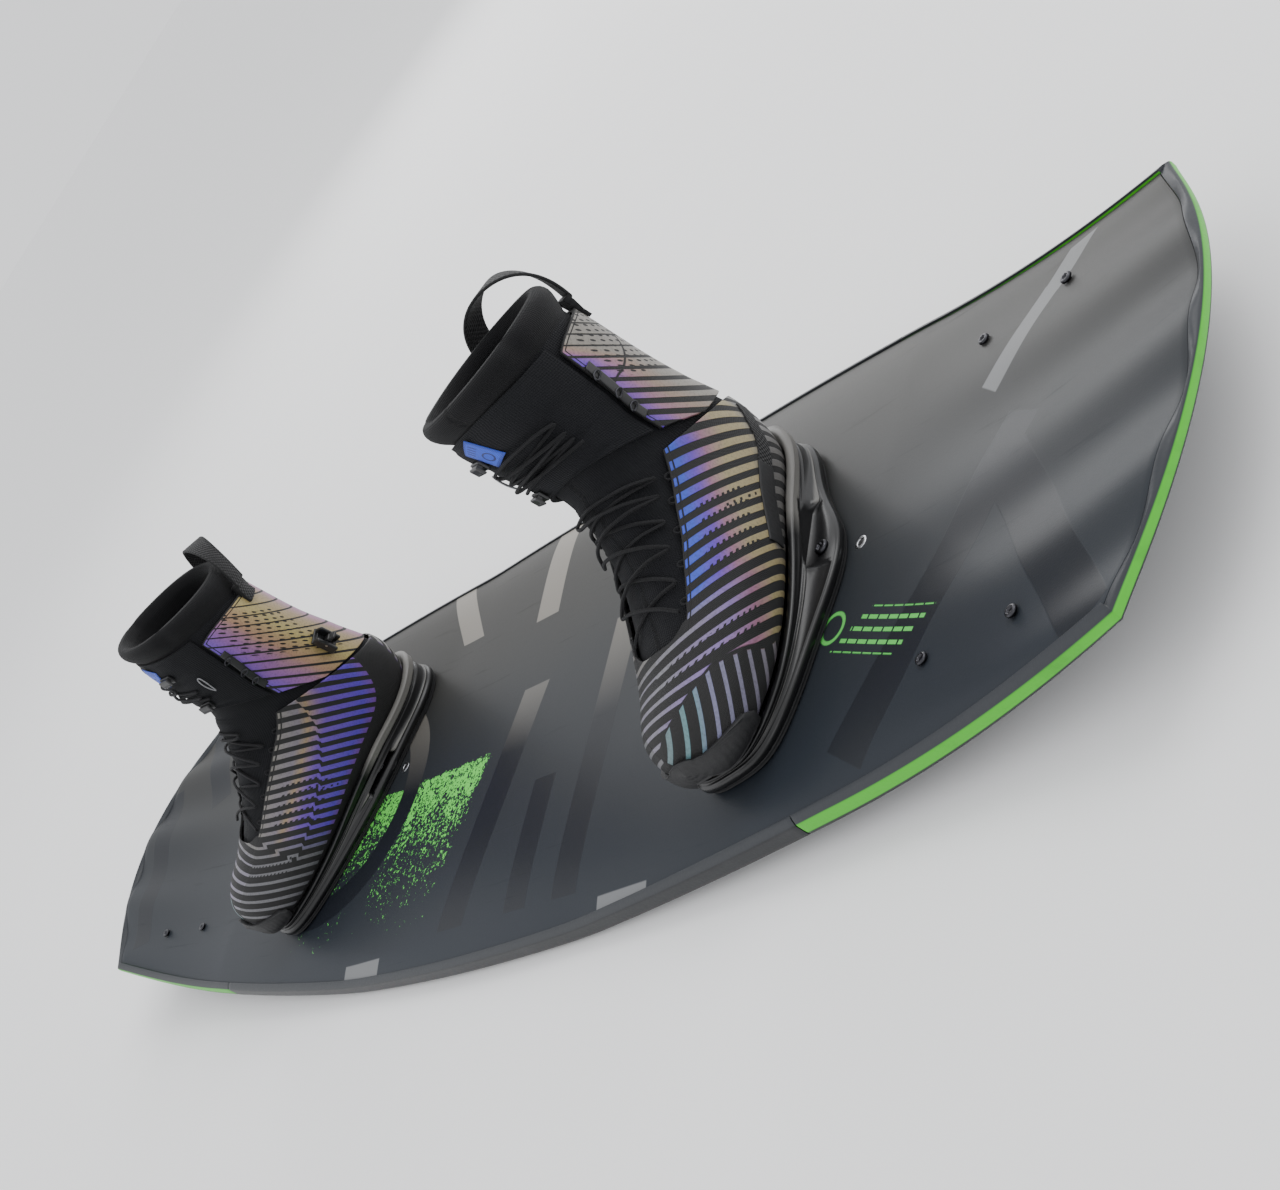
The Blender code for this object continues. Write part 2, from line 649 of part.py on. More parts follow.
def make_cuff(side, pivot):
    angles = np.linspace(-CUFF_EDGE, CUFF_EDGE, 13)
    top = CUFF_TOP - 0.35 * np.abs(angles / CUFF_EDGE) ** 6
    stations = upper_rows(angles, SHELL / 2, top, np.linspace(0, 1, 7))
    mesh = boot_patch(side + "_cuff", stations, np.tile(angles, (7, 1)), 0, SHELL, pivot=ANKLE)
    add_object(side + "_cuff", mesh, material("striped_shell", (0.05, 0.05, 0.06), 0.4), pivot)


def make_tongue(side, pivot):
    angles = np.linspace(CUFF_EDGE + 5, 355 - CUFF_EDGE, 9)
    stations = upper_rows(angles, SHELL / 2, CUFF_TOP - 0.1, np.linspace(0, 1, 6))
    mesh = boot_patch(side + "_tongue", stations, np.tile(angles, (6, 1)), 0, SHELL, pivot=ANKLE)
    add_object(side + "_tongue", mesh, material("black_mesh", BLACK, 0.85), pivot)


def make_collar(side, pivot):
    angles = np.linspace(-180, 180, 19)
    shares = (0, 0.25, 0.5, 0.78)
    below = upper_rows(angles, (LINER_OUT + LINER_IN) / 2, CUFF_TOP + 0.15, shares)
    above = np.array([np.full(angles.shape, s) for s in (CUFF_TOP + 0.15, 12.0, 12.4, COLLAR_TOP)])
    stations = np.concatenate([below, above])
    outer = np.array([LINER_OUT] * 5 + [0.8 * MM, -1.2 * MM, 1.5 * MM])[:, None]
    inner = np.array([LINER_IN] * 5 + [11 * MM, 11.5 * MM, 8.5 * MM])[:, None]
    mesh = boot_patch(side + "_collar", stations, np.tile(angles, (8, 1)), outer, inner, wrap=True,
                      pivot=ANKLE)
    add_object(side + "_collar", mesh, material("black_neoprene", BLACK, 0.8), pivot)


RIM = [(1.7, 12), (1.9, 34), (2.4, 48), (3.2, 56), (4.1, 58), (4.9, 58), (5.7, 56), (6.3, 50), (6.9, 42),
       (7.3, 28), (7.5, 10)]


def chassis_loops():
    """Loops of (station, angle) and plan normals round the rim, outer side first, then the inner side."""
    rim = np.array(RIM + [(s, -a) for s, a in reversed(RIM)], float)
    points = boot_points(rim[:, 0], rim[:, 1], -OVER)
    tangent = np.roll(points, -1, 0) - np.roll(points, 1, 0)
    normal = np.stack([tangent[:, 1], -tangent[:, 0]], -1)
    normal /= np.linalg.norm(normal, axis=1)[:, None]
    if normal[4, 0] < 0:
        normal = -normal
    return rim, points, normal


def flange_reach(points):
    """How far the foot flange stands out from the rim: most beside the outer screw."""
    beside = np.exp(-((points[:, 1] + 12 * MM) / (55 * MM)) ** 2)
    reach = np.where(points[:, 0] > 0, 29 * MM, 12 * MM)
    return 7 * MM + (reach - 7 * MM) * beside


def make_chassis(side, frame):
    rim, points, normal = chassis_loops()
    reach = flange_reach(points)

    def moved(out, z):
        plan = points[:, :2] + normal * np.asarray(out)[..., None]
        return np.column_stack([plan, np.broadcast_to(z, len(points))])

    spine = np.column_stack([np.full(len(points), 3 * MM), np.clip(points[:, 1], -120 * MM, 70 * MM),
                             np.full(len(points), FLANGE_BOTTOM)])
    low = moved(reach, FLANGE_BOTTOM)
    loops = [spine, (spine + low) / 2, low, moved(reach, FLANGE_TOP),
             moved(0.45 * reach + 2 * MM, np.minimum(FLANGE_TOP + 6 * MM, points[:, 2] - 2 * MM)),
             moved(np.full(len(points), 4.5 * MM), points[:, 2] - 1.5 * MM),
             moved(np.full(len(points), 2.5 * MM), points[:, 2]), points]
    centre = np.clip(rim[:, 0], 2.6, 6.3)
    for share in (0.3, 0.6, 1.0):
        station = rim[:, 0] + (centre - rim[:, 0]) * share
        loops.append(boot_points(station, rim[:, 1] * (1 - share), -OVER))
    name = side + "_chassis"
    chassis = add_object(name, finished_mesh(name, loft_bmesh(loops, caps=False), 25),
                         material("gloss_black", (0.02, 0.021, 0.023), 0.2), frame)
    cut(chassis, window_cutter(side, frame))
    slots = slot_cutter(side, frame)
    cut(chassis, slots)

    pad = moved(reach - 2 * MM, FLANGE_BOTTOM - GAP)
    name = side + "_base_pad"
    base = add_object(name, finished_mesh(name, prism_bmesh(pad[:, :2], GAP, FLANGE_BOTTOM - GAP)),
                      material("black_rubber", BLACK, 0.6), frame)
    cut(base, slots)


def slot_angles(margin=0.0):
    half = SLOT_TRAVEL + margin
    return np.radians(np.linspace(-SLOT_CENTRE - half, -SLOT_CENTRE + half, 6))


def slot_cutter(side, frame):
    """Two curved slots round the turning centre, through the flange and the pad."""
    bm = bmesh.new()
    margin = math.degrees(M6_CLEARANCE / MOUNT_RADIUS)
    for flip in (0.0, math.pi):
        angles = slot_angles(margin) + flip
        outline = [(PIVOT_X + r * math.cos(a), r * math.sin(a))
                   for r, run in ((MOUNT_RADIUS + M6_CLEARANCE, angles),
                                  (MOUNT_RADIUS - M6_CLEARANCE, angles[::-1])) for a in run]
        piece = prism_bmesh(outline, -5 * MM, FLANGE_TOP + 4 * MM)
        mesh = bpy.data.meshes.new("slot")
        piece.to_mesh(mesh)
        piece.free()
        bm.from_mesh(mesh)
        bpy.data.meshes.remove(mesh)
    return add_cutter(side + "_mount_slots", bm, frame)


def window_cutter(side, frame):
    """Pockets above the flange, where the screw heads sit and are reached from the side."""
    bm = bmesh.new()
    shift = MOUNT_RADIUS * math.sin(math.radians(SLOT_CENTRE))
    for inner, outer, y, run, top in ((47.5 * MM, 95 * MM, 12 * MM, 96 * MM, 27 * MM),
                                      (-27 * MM, -75 * MM, shift, 46 * MM, 15.3 * MM)):
        size = (abs(outer - inner), run, top - FLANGE_TOP)
        place = Matrix.Translation(((inner + outer) / 2, y, (top + FLANGE_TOP) / 2))
        bmesh.ops.create_cube(bm, size=1, matrix=place @ Matrix.Diagonal((*size, 1)))
    return add_cutter(side + "_screw_windows", bm, frame)


def zigzag(first, last, rows, edge, points_per_row, lift, start):
    """Points of one lace strand that crosses the opening once for each row."""
    found = []
    for row in range(rows):
        direction = start * (-1) ** row
        for step in range(points_per_row):
            share = step / points_per_row
            station = first + (last - first) * (row + share) / rows
            reach = edge(station) * direction * (1 - 2 * share)
            found.append((station, 180 + reach, lift))
    return found


def lace_points(first, last, rows, edge, start=1):
    """One lace up the opening and back down over itself, held at the top by its own turn."""
    up = zigzag(first, last, rows, edge, 4, -2.2 * MM, start)
    side = start * (-1) ** rows
    turn = [(last, 180 + edge(last) * side, -2.2 * MM), (last + 0.12, 180 + edge(last) * side * 0.6, -3.5 * MM),
            (last + 0.16, 180, -4.6 * MM), (last + 0.12, 180 - edge(last) * side * 0.6, -5.2 * MM)]
    down = [(s, 360 - a, -5.4 * MM) for s, a, _ in reversed(zigzag(first, last, rows, edge, 4, 0, start))]
    return np.array(up + turn + down)


def make_laces(side, frame, pivot):
    black = material("black_cord", (0.01, 0.01, 0.011), 0.7)
    route = lace_points(3.7, 6.9, 5, lambda s: 176 - throat_edge(s))
    points = boot_points(route[:, 0], route[:, 1], route[:, 2] + SHELL)
    add_cord(side + "_lower_lace", points, LACE_RADIUS, black, frame)
    route = lace_points(9.4, 10.3, 3, lambda s: 0.5 * (180 - CUFF_EDGE))
    points = boot_points(route[:, 0], route[:, 1], route[:, 2]) - np.array(ANKLE)
    add_cord(side + "_upper_lace", points, LACE_RADIUS, black, pivot)


def surface_frame(station, angle, inset):
    """A matrix on the boot's surface: Z out of it, Y up along the leg."""
    here = Vector(boot_points(station, angle, inset))
    up = Vector(boot_points(station + 0.1, angle, inset)) - here
    sideways = Vector(boot_points(station, angle + 2, inset)) - here
    out = sideways.cross(up).normalized()
    if out.dot(here - Vector(boot_points(station, angle, inset + 5 * MM))) < 0:
        out = -out
    up = (up - out * up.dot(out)).normalized()
    turn = Matrix((up.cross(out), up, out)).transposed()
    return Matrix.Translation(here) @ turn.to_4x4()


def box_mesh(name, size, centre=(0, 0, 0)):
    bm = bmesh.new()
    place = Matrix.Translation(centre) @ Matrix.Diagonal((*size, 1))
    bmesh.ops.create_cube(bm, size=1, matrix=place)
    mesh = bpy.data.meshes.new(name)
    bm.to_mesh(mesh)
    bm.free()
    return mesh


def place_on(obj, matrix):
    obj.location = matrix.to_translation()
    obj.rotation_euler = matrix.to_euler()


def make_lace_hooks(side, pivot):
    black = material("black_nylon", (0.013, 0.013, 0.015), 0.4)
    for name, station, reach in (("upper", 10.75, 25), ("lower", 8.95, 25)):
        size = (15 * MM, 9 * MM, 6 * MM)
        obj = add_object(f"{side}_lace_hook_{name}", box_mesh("hook", size, (0, 0, size[2] / 2 + GAP)), black,
                         pivot)
        place_on(obj, Matrix.Translation(-ANKLE) @ surface_frame(station, 180 + reach, -0.5 * MM))
        add_bevel(obj, 1.2 * MM)


LOCK_STATION, LOCK_ANGLE = 9.0, -52.0


def make_lace_lock(side, pivot):
    """A cord lock on the inner ankle: a forked body, a cam lever and the pin it turns on."""
    black = material("black_nylon", (0.013, 0.013, 0.015), 0.4)
    steel = material("stainless_steel", (0.6, 0.61, 0.62), 0.3, 1.0)
    place = Matrix.Translation(-ANKLE) @ surface_frame(LOCK_STATION, LOCK_ANGLE, -1.2 * MM)
    pin_height = 8 * MM
    seat = add_empty(side + "_lace_lock_seat", pivot)
    place_on(seat, place)
    body = add_object(side + "_lace_lock_body", box_mesh("lock", (16 * MM, 24 * MM, 11 * MM), (0, 0, 5.5 * MM)),
                      black, seat)
    slot = bmesh.new()
    bmesh.ops.create_cube(slot, size=1, matrix=Matrix.Translation((0, 0, 9 * MM))
                          @ Matrix.Diagonal((8.6 * MM, 40 * MM, 10 * MM, 1)))
    cut(body, add_cutter(side + "_lock_slot", slot, seat))
    bore = bmesh.new()
    turn = Matrix.Translation((0, 0, pin_height)) @ Matrix.Rotation(math.pi / 2, 4, "Y")
    bmesh.ops.create_cone(bore, cap_ends=True, segments=10, radius1=1.6 * MM, radius2=1.6 * MM, depth=40 * MM,
                          matrix=turn)
    bore = add_cutter(side + "_lock_bore", bore, seat)
    cut(body, bore)

    lever = add_object(side + "_lace_lock_lever", box_mesh("lever", (8 * MM, 5 * MM, 15 * MM), (0, 0, 5 * MM)),
                       black, seat, at=(0, 0, pin_height))
    cut(lever, bore)
    pin_mesh = bmesh.new()
    bmesh.ops.create_cone(pin_mesh, cap_ends=True, segments=10, radius1=1.25 * MM, radius2=1.25 * MM,
                          depth=15.4 * MM, matrix=Matrix.Rotation(math.pi / 2, 4, "Y"))
    add_object(side + "_lace_lock_pin", finished_mesh("pin", pin_mesh), steel, seat, at=(0, 0, pin_height))


def make_pull_loop(side, pivot):
    """A webbing strap that arches over the back of the collar, from one side of it to the other."""
    width, thickness, lean, twist = 20 * MM, 2.4 * MM, 0.2, 1.1
    rings = []
    steps = 12
    for n in range(steps + 1):
        turn = math.pi * n / steps
        rise = LOOP_RISE * math.sin(turn) ** 0.8
        centre = Vector((LOOP_HALF_WIDTH * math.cos(turn), lean * rise, rise))
        out = Vector((math.cos(turn) / LOOP_HALF_WIDTH, 0, math.sin(turn) / LOOP_RISE)).normalized()
        side_way = Vector((-twist * math.cos(turn), 1, -lean * math.sin(turn))).normalized()
        out = (out - side_way * out.dot(side_way)).normalized()
        corners = ((-1, -1), (1, -1), (1, 1), (-1, 1))
        rings.append([centre + side_way * (a * width / 2) + out * (b * thickness / 2) for a, b in corners])
    name = side + "_pull_loop"
    hinge = add_empty(side + "_pull_loop_hinge", pivot, at=LOOP_AXIS - ANKLE)
    add_object(name, finished_mesh(name, loft_bmesh(rings)), material("black_webbing", BLACK, 0.8), hinge)


def make_mount_screws(side, pivot_x, slope):
    """The two screws of a boot stay with the board: the boot turns round them in its slots."""
    steel = material("black_steel", (0.03, 0.03, 0.033), 0.35, 1.0)
    seat = FLANGE_TOP + 2 * GAP
    for place, direction in (("inner", -1), ("outer", 1)):
        x = pivot_x + math.copysign(MOUNT_RADIUS, pivot_x) * direction
        turned_object(f"{side}_mount_screw_{place}", screw_profile(5.5 * MM, 3 * MM, M6_RADIUS, seat + 8.5 * MM),
                      steel, 10, at=Vector((x, 0, deck_on_ramp(x))) + seat * Vector((-slope, 0, 1)).normalized(),
                      turn=(0, -math.atan(slope), 0))


def make_boot(side, pivot_x, stance, lean_back):
    """One boot, turned to its stance about the point between its two screws, its cuff leaning back."""
    mirrored = pivot_x < 0
    away = -1 if mirrored else 1
    slope = away * RAMP_SLOPE
    turn = Matrix.Rotation(-math.atan(slope), 3, "Y") @ Matrix.Rotation(away * math.radians(stance), 3, "Z")
    at = Vector((pivot_x, 0, deck_on_ramp(pivot_x))) - turn @ Vector((away * PIVOT_X, 0, 0))
    frame = add_empty(side + "_boot", at=at, turn=turn.to_euler(), mirrored=mirrored)
    ankle = add_empty(side + "_ankle", frame, at=ANKLE, turn=(math.radians(-lean_back), 0, 0))
    make_chassis(side, frame)
    make_footbed(side, frame)
    make_inner_boot(side, frame)
    make_vamp(side, frame)
    make_toe_cap(side, frame)
    make_cuff(side, ankle)
    make_tongue(side, ankle)
    make_collar(side, ankle)
    make_pull_loop(side, ankle)
    make_laces(side, frame, ankle)
    make_lace_hooks(side, ankle)
    make_lace_lock(side, ankle)
    make_mount_screws(side, pivot_x, slope)


clear_scene()
PARTS = new_collection("wakeboard")
CUTTERS = new_collection("cutters", hidden=True)
make_core_and_skins()
make_edges()
make_insert_rails()
make_fins()
make_boot("left", LEFT_PIVOT, LEFT_STANCE, LEFT_LEAN_BACK)
make_boot("right", RIGHT_PIVOT, RIGHT_STANCE, RIGHT_LEAN_BACK)
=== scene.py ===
"""A wakeboard with its pair of lace-up boots, on a pale studio floor, in metres with +Z up."""
import json
import math

import bmesh
import bpy
import numpy as np
from mathutils import Matrix, Vector

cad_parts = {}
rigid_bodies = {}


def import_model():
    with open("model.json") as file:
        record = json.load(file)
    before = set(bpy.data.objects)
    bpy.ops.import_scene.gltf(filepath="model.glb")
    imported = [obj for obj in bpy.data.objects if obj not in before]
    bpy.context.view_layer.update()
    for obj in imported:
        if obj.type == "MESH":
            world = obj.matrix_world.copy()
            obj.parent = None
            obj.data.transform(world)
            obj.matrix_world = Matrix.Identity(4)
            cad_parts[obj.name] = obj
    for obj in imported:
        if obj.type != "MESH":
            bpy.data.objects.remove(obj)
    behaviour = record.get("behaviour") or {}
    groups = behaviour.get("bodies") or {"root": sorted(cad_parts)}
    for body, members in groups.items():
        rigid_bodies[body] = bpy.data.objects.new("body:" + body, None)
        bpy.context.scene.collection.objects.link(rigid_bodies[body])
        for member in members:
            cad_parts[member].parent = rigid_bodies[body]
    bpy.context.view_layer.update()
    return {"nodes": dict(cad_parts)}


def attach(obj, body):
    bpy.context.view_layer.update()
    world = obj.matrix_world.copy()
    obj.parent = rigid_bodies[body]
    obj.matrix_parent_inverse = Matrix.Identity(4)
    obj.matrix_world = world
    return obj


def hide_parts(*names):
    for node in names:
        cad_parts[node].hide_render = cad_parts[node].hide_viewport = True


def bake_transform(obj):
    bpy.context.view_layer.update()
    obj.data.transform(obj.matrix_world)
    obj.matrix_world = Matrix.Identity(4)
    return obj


for old in list(bpy.data.objects):
    bpy.data.objects.remove(old)

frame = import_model()
MM = 0.001

# ---------------------------------------------------------------- driving dimensions, as in the part

LENGTH, WIDTH = 1.432, 0.442
TIP_SWEEP, TIP_HALF_WIDTH, CORNER_REACH, TAPER_POWER = 0.048, 0.1545, 0.003, 1.91
RAIL_HEIGHT, TIP_RAIL_HEIGHT, CROWN = 0.016, 0.010, 0.007
LAMINATE, EDGE_WIDTH, GAP, GREEN_FROM = 0.002, 0.006, 0.0003, 0.62
RAMP_START, RAMP_BLEND, RAMP_SLOPE, TIP_START, TIP_SLOPE = 0.170, 0.020, 0.062, 0.440, 0.342
FLUTE_DEPTH, FLUTE_PITCH = 0.0032, 0.53
INSERT_PITCH, INSERT_FIRST, INSERTS = 0.0254, 0.1991, 10
MOUNT_RADIUS, PIVOT_X = 0.0508, 0.012
BOOTS = {"left": (0.3515, 9.0, 0.0), "right": (-0.2753, 21.0, 4.0)}  # place along the board, stance, lean back
SHELL, LINER_IN, OVER = 0.0026, 0.0098, 0.0019  # shell thickness, inset of the foot room, chassis clearance
FLANGE_TOP, FLANGE_BOTTOM = 0.0105, 0.0045
ANKLE = np.array([0.0, 0.062, 0.105])
ANKLE_PLANE_SLOPE, FRONT_WEDGE, REAR_WEDGE, ANKLE_GAP = -0.48, 12.5, 6.0, 0.0008
LOOP_AXIS, LOOP_HALF_WIDTH, LOOP_RISE = np.array([0.0, 0.0885, 0.220]), 0.041, 0.042
LACE_RADIUS = 0.0013
CUFF_EDGE, CUFF_TOP = 104.0, 11.5
THROAT_STATIONS, THROAT_EDGE, THROAT_TOE = (3.3, 3.7, 4.7, 6.2, 7.7), (152, 147, 140, 127, 114), 3.3
# front (y, z), back (y, z), half width, centre x, widest point, squareness at the back and in front
SECTIONS = np.array([
    (-164, 38, -164, 38, 0, -10, .5, 2.2, 2.2), (-157, 57, -158, 20, 21, -9, .45, 2.6, 2.2),
    (-140, 68, -142, 16, 37, -7, .40, 3.2, 2.2), (-108, 77, -110, 14, 47, -3, .38, 3.4, 2.2),
    (-78, 94, -70, 14, 51.5, 0, .36, 3.2, 2.1), (-53, 115, -20, 15, 51, 2, .36, 2.8, 2.0),
    (-36, 135, 40, 16, 47.5, 1, .42, 2.6, 2.1), (-27, 149, 101, 21, 45.5, 0, .52, 2.4, 2.2),
    (-22, 162, 123, 60, 46, 0, .55, 2.2, 2.2), (-20, 177, 113, 112, 48, 0, .55, 2.2, 2.2),
    (-20, 195, 104, 150, 52.5, 0, .52, 2.2, 2.2), (-21, 226, 98, 194, 57, 0, .5, 2.2, 2.2),
    (-20, 244, 95, 224, 58, 0, .5, 2.2, 2.2), (-20, 262, 94, 244, 58.5, 0, .5, 2.2, 2.2)])
SECTIONS[:, :6] *= MM
# (station, angle) of the chassis rim on its outer half, from the toe to the heel
RIM = [(1.7, 12), (1.9, 34), (2.4, 48), (3.2, 56), (4.1, 58), (4.9, 58), (5.7, 56), (6.3, 50), (6.9, 42),
       (7.3, 28), (7.5, 10)]


# ---------------------------------------------------------------- node materials

class Value:
    """A number or a socket in a material, with arithmetic."""

    def __init__(self, mat, socket):
        self.mat, self.socket = mat, socket

    def _do(self, op, *others):
        return self.mat.maths(op, self, *others)

    def __add__(self, other): return self._do("ADD", other)
    def __radd__(self, other): return self._do("ADD", other)
    def __sub__(self, other): return self._do("SUBTRACT", other)
    def __rsub__(self, other): return self.mat.maths("SUBTRACT", other, self)
    def __mul__(self, other): return self._do("MULTIPLY", other)
    def __rmul__(self, other): return self._do("MULTIPLY", other)
    def __truediv__(self, other): return self._do("DIVIDE", other)
    def abs(self): return self._do("ABSOLUTE")
    def fract(self): return self._do("FRACT")
    def floor(self): return self._do("FLOOR")
    def sin(self): return self._do("SINE")
    def sqrt(self): return self._do("SQRT")
    def max(self, other): return self._do("MAXIMUM", other)

    def above(self, edge, soft=1e-3):
        """0 below the edge and 1 above it."""
        return self.mat.ramp01((self - edge) / soft + 0.5)

    def below(self, edge, soft=1e-3):
        return 1 - self.above(edge, soft)

    def within(self, centre, half, soft=1e-3):
        return (self - centre).abs().below(half, soft)


class Paint:
    """Builds one procedural material."""

    def __init__(self, name, roughness=0.5, metallic=0.0, specular=0.5, coat=0.0, coat_roughness=0.1,
                 sheen=0.0):
        self.mat = bpy.data.materials.new(name)
        self.mat.use_nodes = True
        self.tree = self.mat.node_tree
        self.shader = self.tree.nodes["Principled BSDF"]
        for key, value in (("Roughness", roughness), ("Metallic", metallic), ("Specular IOR Level", specular),
                           ("Coat Weight", coat), ("Coat Roughness", coat_roughness),
                           ("Sheen Weight", sheen), ("Sheen Roughness", 0.5)):
            self.shader.inputs[key].default_value = value
        self.place = None

    def put(self, value, socket):
        if isinstance(value, Value):
            self.tree.links.new(value.socket, socket)
        elif isinstance(value, (tuple, list)):
            socket.default_value = (*value, 1.0) if len(socket.default_value) == 4 else tuple(value)
        else:
            socket.default_value = value

    def node(self, kind, **settings):
        node = self.tree.nodes.new(kind)
        for key, value in settings.items():
            setattr(node, key, value)
        return node

    def maths(self, op, *values):
        node = self.node("ShaderNodeMath", operation=op)
        for value, socket in zip(values, node.inputs):
            self.put(value, socket)
        return Value(self, node.outputs[0])

    def ramp01(self, value):
        """The value held between 0 and 1."""
        node = self.node("ShaderNodeClamp")
        self.put(value, node.inputs[0])
        return Value(self, node.outputs[0])

    def attribute(self, name):
        node = self.node("ShaderNodeAttribute", attribute_name=name)
        return Value(self, node.outputs["Fac"])

    def xyz(self):
        """The three coordinates on the object, made once."""
        if self.place is None:
            coords = self.node("ShaderNodeTexCoord")
            split = self.node("ShaderNodeSeparateXYZ")
            self.tree.links.new(coords.outputs["Object"], split.inputs[0])
            self.coords = Value(self, coords.outputs["Object"])
            self.place = [Value(self, out) for out in split.outputs]
        return self.place

    def vector(self, x, y, z):
        node = self.node("ShaderNodeCombineXYZ")
        for value, socket in zip((x, y, z), node.inputs):
            self.put(value, socket)
        return Value(self, node.outputs[0])

    def noise(self, scale, detail=3.0, rough=0.55, at=None):
        self.xyz()
        node = self.node("ShaderNodeTexNoise")
        self.put(at or self.coords, node.inputs["Vector"])
        node.inputs["Scale"].default_value = scale
        node.inputs["Detail"].default_value = detail
        node.inputs["Roughness"].default_value = rough
        return Value(self, node.outputs[0])

    def mix(self, one, two, share):
        node = self.node("ShaderNodeMix", data_type="RGBA")
        self.put(share, node.inputs[0])
        self.put(one, node.inputs[6])
        self.put(two, node.inputs[7])
        return Value(self, node.outputs[2])

    def blend(self, value, stops):
        """A colour from stops of (place, colour)."""
        node = self.node("ShaderNodeValToRGB")
        self.put(value, node.inputs[0])
        ramp = node.color_ramp
        while len(ramp.elements) < len(stops):
            ramp.elements.new(0.5)
        for element, (place, colour) in zip(ramp.elements, stops):
            element.position = place
            element.color = (*colour, 1)
        return Value(self, node.outputs[0])

    def finish(self, colour, roughness, height=None, depth=0.0005):
        """Connects the shader: height is in lengths of depth."""
        self.put(colour, self.shader.inputs["Base Color"])
        self.put(roughness, self.shader.inputs["Roughness"])
        if height is not None:
            bump = self.node("ShaderNodeBump")
            bump.inputs["Strength"].default_value = 1.0
            bump.inputs["Distance"].default_value = depth
            self.put(height, bump.inputs["Height"])
            self.tree.links.new(bump.outputs[0], self.shader.inputs["Normal"])
        return self.mat


